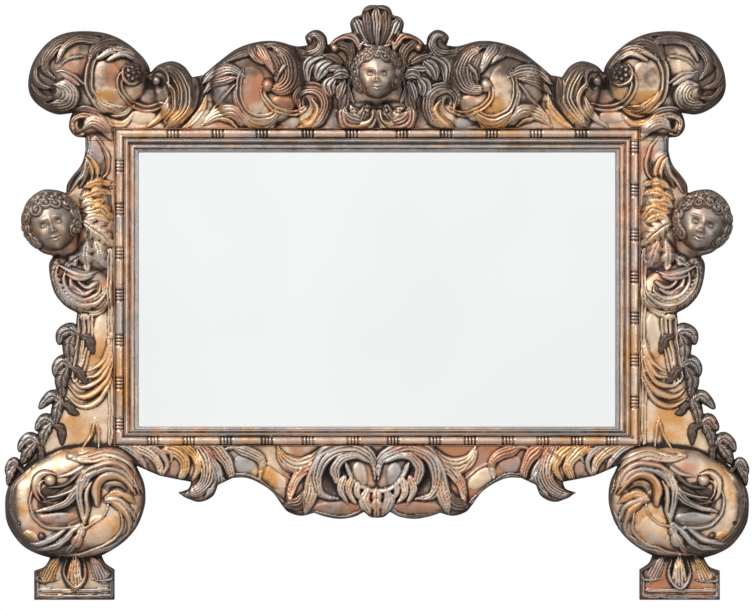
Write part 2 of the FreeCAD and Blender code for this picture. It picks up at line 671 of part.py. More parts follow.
def head(pixel, half_height, rise, turn=0):
    """A child's head in high relief: one skin of flat triangles round a face and its curls, flat on the ground.

    pixel is its centre and half_height its reach in pixels. turn is its tilt in degrees. Its middle lies forward of
    the ground by as much as its rise is more than its half height.
    """
    unit = across(half_height) - across(0)
    centre = rise - unit
    curls = curl_middles()
    points = []
    for i in range(HEAD_RINGS + 1):
        away = radians(HEAD_SPAN * i / HEAD_RINGS)
        for j in range(HEAD_SPOKES if i else 1):
            turned = 2 * pi * j / HEAD_SPOKES
            x, y, z = sin(away) * cos(turned), cos(away), sin(away) * sin(turned)
            radius = unit * (1 + swelling(x, y, z, curls))
            depth = centre + y * radius * HEAD_DEPTH_SHARE if i < HEAD_RINGS else 0
            points.append(Vector(x * radius * HEAD_WIDTH_SHARE, -max(depth, 0), z * radius * HEAD_HEIGHT_SHARE))
    back = len(points)
    points.append(Vector())
    rings = [[0] * HEAD_SPOKES]
    rings += [[1 + i * HEAD_SPOKES + j for j in range(HEAD_SPOKES)] for i in range(HEAD_RINGS)]
    rings.append([back] * HEAD_SPOKES)
    triangles = []
    for inner, outer in zip(rings, rings[1:]):
        for j in range(HEAD_SPOKES):
            k = (j + 1) % HEAD_SPOKES
            if inner[j] != inner[k]:
                triangles.append((inner[j], inner[k], outer[k]))
            if outer[j] != outer[k]:
                triangles.append((inner[j], outer[k], outer[j]))
    skin = Part.Shape()
    skin.makeShapeFromMesh((points, triangles), TOUCH)
    shape = Part.makeSolid(skin)
    if shape.Volume < 0:
        shape.reverse()
    shape.rotate(Vector(), Vector(0, 1, 0), turn)
    shape.translate(Vector(across(pixel[0]), GROUND, up(pixel[1])))
    return shape


def head_footprint(pixel, half_height):
    """The round of ground that a head takes up, through all that is raised there."""
    middle = Vector(across(pixel[0]), GROUND, up(pixel[1]))
    reach = (across(half_height) - across(0)) * (1 + CURL_RISE_SHARE) * HEAD_HEIGHT_SHARE
    return Part.makeCylinder(reach, HALF_WIDTH, middle, Vector(0, -1, 0))


# The heads: the middle and the half height in pixels, and the tilt of the left one in degrees.
CREST_HEAD_PIXELS = ((PIXEL_CENTRE, 74), 28)
LEFT_HEAD_PIXELS = ((52, 223), 31)
LEFT_HEAD_TILT = -17
CREST_HEAD = head(*CREST_HEAD_PIXELS, size("head_rise"))
LEFT_HEAD = head(*LEFT_HEAD_PIXELS, size("side_head_rise"), LEFT_HEAD_TILT)

# The shell: its root and the tip of its middle flute, and on each side a fan of flutes with the turns and
# reaches of the first and the last.
SHELL_ROOT_PIXEL = (PIXEL_CENTRE, 50)
SHELL_TIP_PIXEL = (PIXEL_CENTRE, 6)
SHELL_SIDE_FLUTES = 4
SHELL_TURNS = (146, 106)
SHELL_REACH_PIXELS = (35, 43)
FLUTE_WIDTH_SHARE = 0.3

# The fans of long and short feathers of a wing, in the same terms.
LONG_FEATHER_ROOT_PIXEL = (344, 90)
LONG_FEATHERS = 5
LONG_FEATHER_TURNS = (150, 84)
LONG_FEATHER_REACH_PIXELS = (40, 36)
SHORT_FEATHER_ROOT_PIXEL = (350, 104)
SHORT_FEATHERS = 3
SHORT_FEATHER_TURNS = (168, 120)
SHORT_FEATHER_REACH_PIXELS = (20, 24)
SHORT_FEATHER_WIDTH_SHARE = 0.4


def shell_flutes():
    """The flutes of the shell: the middle one first, then those of each side."""
    flutes = [leaf(SHELL_ROOT_PIXEL, SHELL_TIP_PIXEL, FLUTE_WIDTH_SHARE, size("shell_rise"))]
    for side in (1, -1):
        flutes += fan(
            SHELL_ROOT_PIXEL, SHELL_SIDE_FLUTES, SHELL_TURNS, SHELL_REACH_PIXELS, FLUTE_WIDTH_SHARE,
            size("shell_rise"), side,
        )
    return flutes


def crest_wing(side):
    """A wing beside the head in the crest: long feathers behind, short ones in front, all from one root."""
    feathers = fan(
        LONG_FEATHER_ROOT_PIXEL, LONG_FEATHERS, LONG_FEATHER_TURNS, LONG_FEATHER_REACH_PIXELS, FLUTE_WIDTH_SHARE,
        size("wing_rise"), side,
    )
    feathers += fan(
        SHORT_FEATHER_ROOT_PIXEL, SHORT_FEATHERS, SHORT_FEATHER_TURNS, SHORT_FEATHER_REACH_PIXELS,
        SHORT_FEATHER_WIDTH_SHARE, size("wing_rise"), side,
    )
    return merged(feathers[0], feathers[1:])


def garland(side):
    """The leaves down the lower edge of one side, which overhang the sheet and grow from one stem."""
    stem = strand(GARLAND_STEM_PIXELS, size("garland_stem_width"), size("garland_rise"), side)
    stem = stem.common(block(-FAR, FAR, GROUND - HALF_WIDTH, GROUND, LOW, HIGH))
    return merged(stem, cluster(GARLAND_LEAVES, size("garland_rise"), side))


def applied_pieces():
    """The pieces that are made apart and pinned on, each cut clear of the ones before it."""
    first_flute, *other_flutes = shell_flutes()
    clear = head_footprint(*CREST_HEAD_PIXELS)
    shell = merged(first_flute, other_flutes).cut(clear)
    pieces = {"crest_head": CREST_HEAD, "crest_shell": shell}
    for side, name in ((1, "left"), (-1, "right")):
        pieces[f"{name}_wing"] = crest_wing(side).cut([clear, shell])
        pieces[f"{name}_head"] = LEFT_HEAD if side == 1 else LEFT_HEAD.mirror(Vector(), Vector(1, 0, 0))
        pieces[f"{name}_leaf_garland"] = garland(side)
    return pieces


def sheet_regions():
    """The parts of the front that the separate sheets cover, butted at the seams."""
    seam = up(SEAM_PIXEL)
    side = side_region(FIELD_HALF, seam, FIELD_FOOT)
    deep = -HALF_WIDTH
    left, right = prism(side, deep, SKIRT_BACK), prism(mirror_points(side), deep, SKIRT_BACK)
    crest = block(-FAR, FAR, deep, SKIRT_BACK, seam, HIGH)
    low = block(-FAR, FAR, deep, SKIRT_BACK, LOW, up(PLINTH_SEAM_PIXEL))
    apron = block(-FAR, FAR, deep, SKIRT_BACK, LOW, FIELD_FOOT).cut([left, right])
    return {
        "crest_sheet": crest,
        "left_side_sheet": left.cut(low),
        "right_side_sheet": right.cut(low),
        "left_plinth_sheet": left.common(low),
        "right_plinth_sheet": right.common(low),
        "apron_sheet": apron,
    }


def relief():
    """All that is raised from each sheet."""
    raised = {name: [] for name in ("crest_sheet", "apron_sheet")}
    for side, name in ((1, "left"), (-1, "right")):
        raised["crest_sheet"] += [
            pillow(CORNER_VOLUTE_PIXELS, size("corner_volute_rise"), side),
            pillow(SECOND_VOLUTE_PIXELS, size("second_volute_rise"), side),
            pillow(BRACKET_PIXELS, size("leaf_rise"), side),
            pillow(CURL_PIXELS, size("leaf_rise"), side),
            *strands_of("crest", side),
        ]
        raised[f"{name}_side_sheet"] = [
            pillow(FOOT_VOLUTE_PIXELS, size("foot_volute_rise"), side),
            pillow(SWIRL_PIXELS, size("wing_rise"), side),
            *cluster(SIDE_CLUSTER_LEAVES, size("leaf_rise"), side),
            *strands_of("side", side),
        ]
        raised["apron_sheet"] += [
            pillow(APRON_LOBE_PIXELS, size("leaf_rise"), side),
            *strands_of("apron", side),
        ]
        raised[f"{name}_plinth_sheet"] = cluster(PLINTH_LEAVES, size("leaf_rise"), side)
    raised["apron_sheet"].append(leaf(*APRON_LEAF_PIXELS, APRON_LEAF_WIDTH_SHARE, size("leaf_rise")))
    return raised


def apply_sheets():
    """The sheets with their relief, open where the mouldings lie, and the pieces pinned on them."""
    pieces = applied_pieces()
    slab = sheet_slab()
    raised = relief()
    field = block(-FIELD_HALF, FIELD_HALF, -HALF_WIDTH, SKIRT_BACK + OVERRUN, FIELD_FOOT, FIELD_TOP)
    left_clear = head_footprint(*LEFT_HEAD_PIXELS)
    clear = [head_footprint(*CREST_HEAD_PIXELS), left_clear, left_clear.mirror(Vector(), Vector(1, 0, 0))]
    clear += [piece for name, piece in pieces.items() if not name.endswith("_head")]
    for name, region in sheet_regions().items():
        body = slab.common(region)
        for lobe in raised[name]:
            body = body.fuse(lobe)
        add_solid(name, body.cut([field, *clear]))
    for name, piece in pieces.items():
        add_solid(name, piece)


apply_sheets()

# Mouldings round the glass

# The front of the sight moulding: how far across its band and up its rise each step lies, from the glass out.
SIGHT_STEP_SHARES = (
    (0.0, 0.0), (0.06, 0.16), (0.18, 0.26), (0.3, 0.3), (0.36, 0.55), (0.42, 0.62),
    (0.58, 0.5), (0.72, 0.62), (0.78, 0.95), (0.84, 1.0), (0.94, 1.0), (1.0, 0.9),
)
# The front of the bead strip's bed between its two fillets.
BED_STEP_SHARES = (
    (0.0, 0.7), (0.03, 0.85), (0.1, 0.85), (0.12, 0.6), (0.88, 0.6), (0.9, 1.0), (0.97, 1.0), (1.0, 0.8),
)


def corner_section(side, low, profile):
    """The points of one mitre face, from (reach across the side band, reach across the other band, depth)."""
    edge = SIGHT_FOOT if low else SIGHT_TOP
    way = -1 if low else 1
    return [Vector(side * (HALF_SIGHT + reach), depth, edge + way * rise) for reach, rise, depth in profile]


def strip_between(start, end):
    """The solid between two like polygons: a flat face for each edge of the profile, and two mitre faces."""
    count = len(start)
    loops = [[start[i], start[(i + 1) % count], end[(i + 1) % count], end[i]] for i in range(count)]
    faces = [Part.Face(Part.makePolygon(loop + loop[:1])) for loop in [*loops, start, end]]
    strip = Part.makeSolid(Part.makeShell(faces))
    if strip.Volume < 0:
        strip.reverse()
    return strip


def mitred_frame(stem, profiles):
    """Four strips of one profile that meet in mitres. profiles holds it at the top and the foot corners."""
    corners = {
        (side, low): corner_section(side, low, profiles[low]) for side in (-1, 1) for low in (False, True)
    }
    ends = {
        "top": ((-1, False), (1, False)),
        "right": ((1, False), (1, True)),
        "bottom": ((1, True), (-1, True)),
        "left": ((-1, True), (-1, False)),
    }
    return {f"{stem}_{name}": strip_between(corners[a], corners[b]) for name, (a, b) in ends.items()}


def sight_profile(foot):
    """The sight moulding at a corner: a flange down to the glass, the stepped front and the flat on the lip."""
    band, level = size("sight_band"), size("sight_band_foot") if foot else size("sight_band")
    wall, low_wall, base = size("sight_wall"), WALL_FOOT if foot else size("sight_wall"), CORE_FRONT
    front = [
        (share * band, share * level, base - size("sight_rise") * rise_share)
        for share, rise_share in SIGHT_STEP_SHARES
    ]
    flange = [(wall, low_wall, base), (wall, low_wall, LIP_BACK), (0, 0, LIP_BACK)]
    return [*flange, *front, (band, level, base)]


def bead_profile(foot):
    """The bed of the bead strip at a corner, between the sight moulding and the sheets."""
    start, low = size("sight_band"), size("sight_band_foot") if foot else size("sight_band")
    band, base = size("bead_band"), CORE_FRONT
    front = [
        (start + share * band, low + share * band, base - size("bead_bed_rise") * rise_share)
        for share, rise_share in BED_STEP_SHARES
    ]
    return [(start, low, base), *front, (start + band, low + band, base)]


BEAD_SHARE = 0.6
REEL_SHARE = 0.6
ROD_DEPTH = CORE_FRONT - size("bead_bed_rise") * BEAD_SHARE


def bead_rod(length):
    """A rod along X with a pair of reels at every pitch, turned from one profile and set out from its middle."""
    pitch, reel = size("bead_pitch"), size("reel_width") / 2
    count = int(length / 2 / pitch)
    profile = [(-length / 2, 0), (-length / 2, size("bead_radius"))]
    for step in range(-count, count + 1):
        centre = step * pitch
        waist = (size("bead_radius") + size("reel_radius")) / 2
        for x, radius in (
            (-reel, size("bead_radius")), (-reel * REEL_SHARE, size("reel_radius")), (0, waist),
            (reel * REEL_SHARE, size("reel_radius")), (reel, size("bead_radius")),
        ):
            profile.append((centre + x, radius))
    profile += [(length / 2, size("bead_radius")), (length / 2, 0)]
    wire = Part.makePolygon([Vector(x, -radius, 0) for x, radius in profile + profile[:1]])
    return Part.Face(wire).revolve(Vector(), Vector(1, 0, 0), 360)


def apply_mouldings():
    """The sight moulding, and the bead-and-reel strips cut to their mitres."""
    for name, shape in mitred_frame("sight_moulding", (sight_profile(False), sight_profile(True))).items():
        add_solid(name, shape)
    inner, outer = HALF_SIGHT + size("sight_band"), FIELD_HALF
    high, low = (BAND_TOP, FIELD_TOP), (BAND_FOOT, FIELD_FOOT)
    deep = ROD_DEPTH - 2 * size("reel_radius")
    regions = {
        "top": [(-inner, high[0]), (inner, high[0]), (outer, high[1]), (-outer, high[1])],
        "bottom": [(-inner, low[0]), (inner, low[0]), (outer, low[1]), (-outer, low[1])],
        "left": [(-inner, high[0]), (-inner, low[0]), (-outer, low[1]), (-outer, high[1])],
        "right": [(inner, high[0]), (inner, low[0]), (outer, low[1]), (outer, high[1])],
    }
    wide, tall = 2 * outer, FIELD_TOP - FIELD_FOOT
    middle = size("bead_band") / 2
    places = {
        "top": (wide, Vector(0, ROD_DEPTH, high[0] + middle), False),
        "bottom": (wide, Vector(0, ROD_DEPTH, low[0] - middle), False),
        "left": (tall, Vector(-inner - middle, ROD_DEPTH, (FIELD_TOP + FIELD_FOOT) / 2), True),
        "right": (tall, Vector(inner + middle, ROD_DEPTH, (FIELD_TOP + FIELD_FOOT) / 2), True),
    }
    beds = mitred_frame("bead_moulding", (bead_profile(False), bead_profile(True)))
    for name, (length, place, stands) in places.items():
        rod = bead_rod(length)
        if stands:
            rod.rotate(Vector(), Vector(0, 1, 0), 90)
        rod.translate(place)
        front = rod.common(prism(regions[name], deep, ROD_DEPTH))
        add_solid(f"bead_moulding_{name}", beds[f"bead_moulding_{name}"].fuse(front))


apply_mouldings()

# Hardware on the back


def new_body(label, place):
    """A body with its own label and place."""
    body = doc.addObject("PartDesign::Body", label)
    body.Label = label
    body.Placement = Placement(place, Rotation())
    return body


def new_sketch(body, role, name):
    """A sketch on one of a body's origin planes."""
    sketch = body.newObject("Sketcher::SketchObject", name)
    plane = next(feature for feature in body.Origin.OriginFeatures if feature.Role == role)
    sketch.AttachmentSupport = (plane, [""])
    sketch.MapMode = "FlatFace"
    return sketch


def bind(sketch, constraint, expression):
    """Adds a constraint and binds its value to the sheet."""
    index = sketch.addConstraint(constraint)
    sketch.setExpression(f"Constraints[{index}]", expression)


def turn_button(label, x, z):
    """A brass turn button: a bar with round ends and a screw hole in its middle, just off the panel."""
    half_length = (size("button_length") - size("button_width")) / 2
    radius = size("button_width") / 2
    body = new_body(label, Vector(x, size("button_clearance"), z))
    sketch = new_sketch(body, "XZ_Plane", f"{label}_outline")
    front = Vector(0, 0, 1)
    ends = [Vector(half_length, 0, 0), Vector(-half_length, 0, 0)]
    sketch.addGeometry(Part.ArcOfCircle(Part.Circle(ends[0], front, radius), -pi / 2, pi / 2), False)
    sketch.addGeometry(Part.ArcOfCircle(Part.Circle(ends[1], front, radius), pi / 2, 3 * pi / 2), False)
    rise = Vector(0, radius, 0)
    sketch.addGeometry(Part.LineSegment(ends[0] + rise, ends[1] + rise), False)
    sketch.addGeometry(Part.LineSegment(ends[1] - rise, ends[0] - rise), False)
    sketch.addGeometry(Part.Circle(Vector(), front, size("screw_radius")), False)
    for first, first_end, second, second_end in ((0, 2, 2, 1), (2, 2, 1, 1), (1, 2, 3, 1), (3, 2, 0, 1)):
        sketch.addConstraint(Sketcher.Constraint("Tangent", first, first_end, second, second_end))
    sketch.addConstraint(Sketcher.Constraint("Symmetric", 0, 3, 1, 3, -1, 1))
    sketch.addConstraint(Sketcher.Constraint("Horizontal", 2))
    sketch.addConstraint(Sketcher.Constraint("Coincident", 4, 3, -1, 1))
    bind(sketch, Sketcher.Constraint("Radius", 0, radius), "Sizes.button_width / 2")
    bind(
        sketch, Sketcher.Constraint("DistanceX", 1, 3, 0, 3, 2 * half_length),
        "Sizes.button_length - Sizes.button_width",
    )
    bore = Sketcher.Constraint("Radius", 4, size("screw_radius"))
    bind(sketch, bore, "Sizes.screw_radius + Sizes.screw_clearance")
    pad = body.newObject("PartDesign::Pad", f"{label}_plate")
    pad.Profile = sketch
    pad.Reversed = True
    pad.setExpression("Length", "Sizes.button_thickness")
    return body


def fused(label, parts):
    """One sub-part out of several primitives."""
    item = doc.addObject("Part::MultiFuse", label)
    item.Label = label
    item.Shapes = parts
    return item


def screws(label, places, seat, seat_alias):
    """Round-headed screws in one sub-part: a shank into the wood and a domed head over what it holds."""
    parts = []
    for i, (x, z) in enumerate(places):
        turned = Rotation(Vector(1, 0, 0), -90)
        shank = doc.addObject("Part::Cylinder", f"{label}_shank_{i}")
        shank.setExpression("Radius", "Sizes.screw_radius")
        shank.setExpression("Height", f"Sizes.screw_depth + {seat_alias}")
        shank.Placement = Placement(Vector(x, -size("screw_depth"), z), turned)
        cap = doc.addObject("Part::Cone", f"{label}_head_{i}")
        cap.setExpression("Radius1", "Sizes.screw_head_radius")
        cap.setExpression("Radius2", "Sizes.screw_head_radius / 2")
        cap.setExpression("Height", "Sizes.screw_head_height")
        cap.Placement = Placement(Vector(x, seat, z), turned)
        parts += [shank, cap]
    return fused(label, parts)


def strap(label, x):
    """A ring hanger's strap: a plate with two screw holes and a knuckle rolled round the ring's bar."""
    body = new_body(label, Vector(x, 0, 0))
    plate_sketch = new_sketch(body, "XZ_Plane", f"{label}_plate_outline")
    half, drop = size("strap_width") / 2, size("strap_length")
    corners = [Vector(-half, 0, 0), Vector(half, 0, 0), Vector(half, -drop, 0), Vector(-half, -drop, 0)]
    for i, corner in enumerate(corners):
        plate_sketch.addGeometry(Part.LineSegment(corner, corners[(i + 1) % 4]), False)
    for i in range(4):
        plate_sketch.addConstraint(Sketcher.Constraint("Coincident", i, 2, (i + 1) % 4, 1))
    for i, way in enumerate(("Horizontal", "Vertical", "Horizontal", "Vertical")):
        plate_sketch.addConstraint(Sketcher.Constraint(way, i))
    plate_sketch.addConstraint(Sketcher.Constraint("Symmetric", 0, 1, 0, 2, -1, 1))
    bind(plate_sketch, Sketcher.Constraint("DistanceX", 0, 1, 0, 2, 2 * half), "Sizes.strap_width")
    bind(plate_sketch, Sketcher.Constraint("DistanceY", 1, 2, 1, 1, drop), "Sizes.strap_length")
    for i, z in enumerate(STRAP_ROWS):
        plate_sketch.addGeometry(Part.Circle(Vector(0, z, 0), Vector(0, 0, 1), size("screw_radius")), False)
        plate_sketch.addConstraint(Sketcher.Constraint("PointOnObject", 4 + i, 3, -2))
        bind(
            plate_sketch, Sketcher.Constraint("DistanceY", 4 + i, 3, -1, 1, -z),
            f"Sizes.strap_length * {STRAP_SCREW_SHARES[i]}",
        )
        bind(
            plate_sketch, Sketcher.Constraint("Radius", 4 + i, size("screw_radius")),
            "Sizes.screw_radius + Sizes.screw_clearance",
        )
    pad = body.newObject("PartDesign::Pad", f"{label}_plate")
    pad.Profile = plate_sketch
    pad.Reversed = True
    pad.setExpression("Length", "Sizes.strap_thickness")
    doc.recompute()
    knuckle_sketch = new_sketch(body, "YZ_Plane", f"{label}_knuckle_outline")
    centre = Vector(size("knuckle_radius"), 0, 0)
    knuckle_sketch.addGeometry(Part.Circle(centre, Vector(0, 0, 1), size("knuckle_radius")), False)
    knuckle_sketch.addConstraint(Sketcher.Constraint("PointOnObject", 0, 3, -1))
    bind(knuckle_sketch, Sketcher.Constraint("Radius", 0, size("knuckle_radius")), "Sizes.knuckle_radius")
    bind(
        knuckle_sketch, Sketcher.Constraint("DistanceX", -1, 1, 0, 3, size("knuckle_radius")),
        "Sizes.knuckle_radius",
    )
    roll = body.newObject("PartDesign::Pad", f"{label}_knuckle")
    roll.Profile = knuckle_sketch
    roll.Midplane = True
    roll.setExpression("Length", "Sizes.strap_width")
    doc.recompute()
    bore_sketch = new_sketch(body, "YZ_Plane", f"{label}_bore_outline")
    bore = size("ring_thickness") / 2 + size("ring_play")
    bore_sketch.addGeometry(Part.Circle(centre, Vector(0, 0, 1), bore), False)
    bore_sketch.addConstraint(Sketcher.Constraint("PointOnObject", 0, 3, -1))
    bind(bore_sketch, Sketcher.Constraint("Radius", 0, bore), "Sizes.ring_thickness / 2 + Sizes.ring_play")
    bind(
        bore_sketch, Sketcher.Constraint("DistanceX", -1, 1, 0, 3, size("knuckle_radius")),
        "Sizes.knuckle_radius",
    )
    pocket = body.newObject("PartDesign::Pocket", f"{label}_bore")
    pocket.Profile = bore_sketch
    pocket.Midplane = True
    pocket.setExpression("Length", "Sizes.strap_width * 2")
    return body


def ring(label, x):
    """A stamped D-shaped ring: a flat bow whose round bar turns in the strap's knuckle. It hangs down."""
    half, band, thick = size("ring_width") / 2, size("ring_band"), size("ring_thickness")
    centre = -(size("ring_drop") - half)
    body = new_body(label, Vector(x, size("knuckle_radius"), 0))
    sketch = new_sketch(body, "XZ_Plane", f"{label}_bow_outline")
    front = Vector(0, 0, 1)
    arc_centre = Vector(0, centre, 0)
    sketch.addGeometry(Part.ArcOfCircle(Part.Circle(arc_centre, front, half), pi, 2 * pi), False)
    sketch.addGeometry(Part.ArcOfCircle(Part.Circle(arc_centre, front, half - band), pi, 2 * pi), False)
    top = thick / 2
    runs = [
        (Vector(half, centre, 0), Vector(half, top, 0)),
        (Vector(half, top, 0), Vector(half - band, top, 0)),
        (Vector(half - band, top, 0), Vector(half - band, centre, 0)),
        (Vector(band - half, centre, 0), Vector(band - half, top, 0)),
        (Vector(band - half, top, 0), Vector(-half, top, 0)),
        (Vector(-half, top, 0), Vector(-half, centre, 0)),
    ]
    for start, end in runs:
        sketch.addGeometry(Part.LineSegment(start, end), False)
    joins = (
        (0, 2, 2, 1), (2, 2, 3, 1), (3, 2, 4, 1), (4, 2, 1, 2), (1, 1, 5, 1), (5, 2, 6, 1), (6, 2, 7, 1), (7, 2, 0, 1),
    )
    for first, first_end, second, second_end in joins:
        sketch.addConstraint(Sketcher.Constraint("Coincident", first, first_end, second, second_end))
    for line in (2, 4, 5, 7):
        sketch.addConstraint(Sketcher.Constraint("Vertical", line))
    for line in (3, 6):
        sketch.addConstraint(Sketcher.Constraint("Horizontal", line))
    sketch.addConstraint(Sketcher.Constraint("PointOnObject", 0, 3, -2))
    sketch.addConstraint(Sketcher.Constraint("Coincident", 0, 3, 1, 3))
    sketch.addConstraint(Sketcher.Constraint("Horizontal", 0, 1, 0, 3))
    sketch.addConstraint(Sketcher.Constraint("Horizontal", 0, 2, 0, 3))
    sketch.addConstraint(Sketcher.Constraint("Horizontal", 1, 1, 1, 3))
    sketch.addConstraint(Sketcher.Constraint("Horizontal", 1, 2, 1, 3))
    sketch.addConstraint(Sketcher.Constraint("Horizontal", 3, 1, 6, 1))
    bind(sketch, Sketcher.Constraint("Radius", 0, half), "Sizes.ring_width / 2")
    bind(sketch, Sketcher.Constraint("Radius", 1, half - band), "Sizes.ring_width / 2 - Sizes.ring_band")
    bind(
        sketch, Sketcher.Constraint("DistanceY", 0, 3, -1, 1, -centre),
        "Sizes.ring_drop - Sizes.ring_width / 2",
    )
    bind(sketch, Sketcher.Constraint("DistanceY", -1, 1, 2, 2, top), "Sizes.ring_thickness / 2")
    bow = body.newObject("PartDesign::Pad", f"{label}_bow")
    bow.Profile = sketch
    bow.Midplane = True
    bow.setExpression("Length", "Sizes.ring_thickness")
    doc.recompute()
    bar_sketch = new_sketch(body, "YZ_Plane", f"{label}_bar_outline")
    bar_sketch.addGeometry(Part.Circle(Vector(), front, thick / 2), False)
    bar_sketch.addConstraint(Sketcher.Constraint("Coincident", 0, 3, -1, 1))
    bind(bar_sketch, Sketcher.Constraint("Radius", 0, thick / 2), "Sizes.ring_thickness / 2")
    bar = body.newObject("PartDesign::Pad", f"{label}_bar")
    bar.Profile = bar_sketch
    bar.Midplane = True
    bar.setExpression("Length", "Sizes.ring_width - Sizes.ring_band")
    return body


BUTTON_PLACES = both_sides([(BUTTON_X, z) for z in BUTTON_ROWS])
STRAP_PLACES = both_sides([(HANGER_X, z) for z in STRAP_ROWS])
for number, (button_x, button_z) in enumerate(BUTTON_PLACES, start=1):
    turn_button(f"turn_button_{number}", button_x, button_z)
screws(
    "turn_button_screws", BUTTON_PLACES, size("button_clearance") + size("button_thickness"),
    "Sizes.button_clearance + Sizes.button_thickness",
)
for hanger_side, hanger_x in (("left", HANGER_X), ("right", -HANGER_X)):
    strap(f"{hanger_side}_strap", hanger_x)
    ring(f"{hanger_side}_ring", hanger_x)
screws("strap_screws", STRAP_PLACES, size("strap_thickness"), "Sizes.strap_thickness")
doc.recompute()

# The named sub-parts are those that stand free: no other object uses them.
NODE_TYPES = ("PartDesign::Body", "Part::Feature", "Part::Box", "Part::MultiFuse")
nodes = [item for item in doc.Objects if item.TypeId in NODE_TYPES]
faults = [f"{item.Label}: {item.State}" for item in doc.Objects if {"Invalid", "Error"} & set(item.State)]
faults += [item.Label for item in nodes if item.Shape.isNull() or not item.Shape.isValid()]
if faults:
    raise RuntimeError("not sound: " + "; ".join(faults))
os.makedirs("parts", exist_ok=True)
for item in nodes:
    item.Shape.exportStep(os.path.join("parts", f"{item.Label}.step"))
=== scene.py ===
"""The wall mirror in its repousse metal frame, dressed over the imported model.

The sheets are raised the way a chaser raises them: panels are pushed up from the ground, strands and leaves
are laid over them, and a line is driven in beside each one. All of it is worked out on one fine grid over the
front, in millimetres. The left half is laid out in pixels of the photograph, and the right half is mirrored
from it with small differences of the hand.
"""

from __future__ import annotations

import json
import logging
import math
from collections.abc import Iterable
from dataclasses import dataclass, field
from enum import Enum
from functools import partial, partialmethod

import bpy
import numpy as np
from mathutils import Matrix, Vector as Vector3

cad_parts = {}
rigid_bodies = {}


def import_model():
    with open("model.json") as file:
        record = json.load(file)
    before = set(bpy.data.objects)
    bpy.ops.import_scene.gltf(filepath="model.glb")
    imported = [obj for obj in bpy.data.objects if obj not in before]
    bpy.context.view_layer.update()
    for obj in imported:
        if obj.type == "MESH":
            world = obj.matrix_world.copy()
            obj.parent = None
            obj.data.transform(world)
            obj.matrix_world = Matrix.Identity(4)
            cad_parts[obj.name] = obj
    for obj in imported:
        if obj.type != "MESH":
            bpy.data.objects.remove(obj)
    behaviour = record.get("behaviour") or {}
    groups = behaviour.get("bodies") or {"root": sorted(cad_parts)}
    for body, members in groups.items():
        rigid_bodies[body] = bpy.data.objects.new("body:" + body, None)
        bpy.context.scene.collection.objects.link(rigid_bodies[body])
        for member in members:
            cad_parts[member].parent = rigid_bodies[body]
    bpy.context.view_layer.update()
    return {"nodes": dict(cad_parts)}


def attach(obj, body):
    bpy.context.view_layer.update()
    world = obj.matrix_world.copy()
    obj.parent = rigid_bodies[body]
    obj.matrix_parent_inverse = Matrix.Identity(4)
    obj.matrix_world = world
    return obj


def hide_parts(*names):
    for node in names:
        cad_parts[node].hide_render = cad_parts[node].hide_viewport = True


LOG = logging.getLogger("repousse_mirror")

MM = 0.001
# the column and row of the frame's zero in the photograph, and its size, at one millimetre to the pixel
PIXEL_CENTRE, PIXEL_ZERO_ROW = 377.0, 102.0
PHOTO_WIDTH, PHOTO_HEIGHT = 753.0, 610.0
# y of the sheets' ground, of the front of the core and of the rear end of the sheets' edges, in mm
GROUND, CORE_FRONT, SKIRT_BACK = -26.0, -22.0, -8.0
# the glass that shows, the inner edges of the sheets, and the seams between them, in mm
HALF_SIGHT, SIGHT_TOP, SIGHT_FOOT = 239.0, -50.0, -325.0
FIELD_HALF, FIELD_TOP, FIELD_FOOT = 263.0, -26.0, -344.0
SEAM, PLINTH_SEAM = -39.0, -455.0
# the upright seam beside the apron, and the height from which it slants in towards the glass, in mm
APRON_SEAM, APRON_BEND = 242.0, -363.0
# the limits of the grid, just past the silhouette, and the size of its cells, in mm
GRID_HALF, GRID_TOP, GRID_FOOT = 376.0, 101.0, -502.0
CELL, QUICK_CELL = 0.9, 1.6
# the rings and spokes of points on a head
HEAD, QUICK_HEAD = (190, 300), (90, 140)
# the line driven in beside a stroke, and how deep a stroke may lie in others and still show, in mm
CHASED_WIDTH, CHASED_DEPTH, SUNK = 1.3, 0.8, 0.8
# half the width of the line round a mound, and how far apart the hair lines on the metal lie, in mm
RIM_LINE, HAIR_SPACING = 1.1, 2.7
# how strongly a stroke's tone covers what was there
TONE_STRENGTH = 0.8
# how far from an edge distances are worked out, and what stands for more than that, in mm
EDGE_REACH, FAR_AWAY = 7.0, 99.0
# how wide the bottom strips of the mouldings are, as a share of the others
NARROW = 8.0 / 13.0
# how many waves and patches of colour run along a strip
WAVES, PATCHES = 24, 12
# the stepped moulding's lip, and where its outer rim starts, in mm
LIP_WIDTH, RIM_START = 3.8, 8.8
# the bead strip, in mm: half its width, its bed's height, the rod's radius and how far its hollow reaches
BEAD_HALF, BEAD_BED, ROD_RADIUS, ROD_REACH = 5.5, 5.0, 4.3, 4.6
# a reel on it, in mm: the space between two turns, half its length without and with its shade, and its neck
REEL_PITCH, REEL_HALF, REEL_SHADE, REEL_NECK = 3.2, 4.4, 4.6, 5.2
# how far away the camera stands from the sheets' ground, in m
CAMERA_AWAY = 6.0
SEED = 11
# how far the hand strays on the right half and on the small pieces, in mm
RIGHT_STRAY, APPLIED_STRAY = 0.35, 0.25

Array = np.ndarray
Thing = bpy.types.Object
Material = bpy.types.Material
Socket = bpy.types.NodeSocket
Points = list[tuple[float, float]]
Window = tuple[slice, slice]
EVERYWHERE: Window = (slice(None), slice(None))
Colour = tuple[float, float, float, float]


def plane(pixels: Points, side: int = 1) -> Array:
    """Pixels of the left half as millimetres on the front plane.

    Args:
        pixels: (column, row) pairs.
        side: 1 keeps them on the left, -1 mirrors them to the right.

    Returns:
        An array of (across, up) pairs.
    """
    array = np.asarray(pixels, dtype=float)
    return np.stack([(array[:, 0] - PIXEL_CENTRE) * side, PIXEL_ZERO_ROW - array[:, 1]], axis=1)


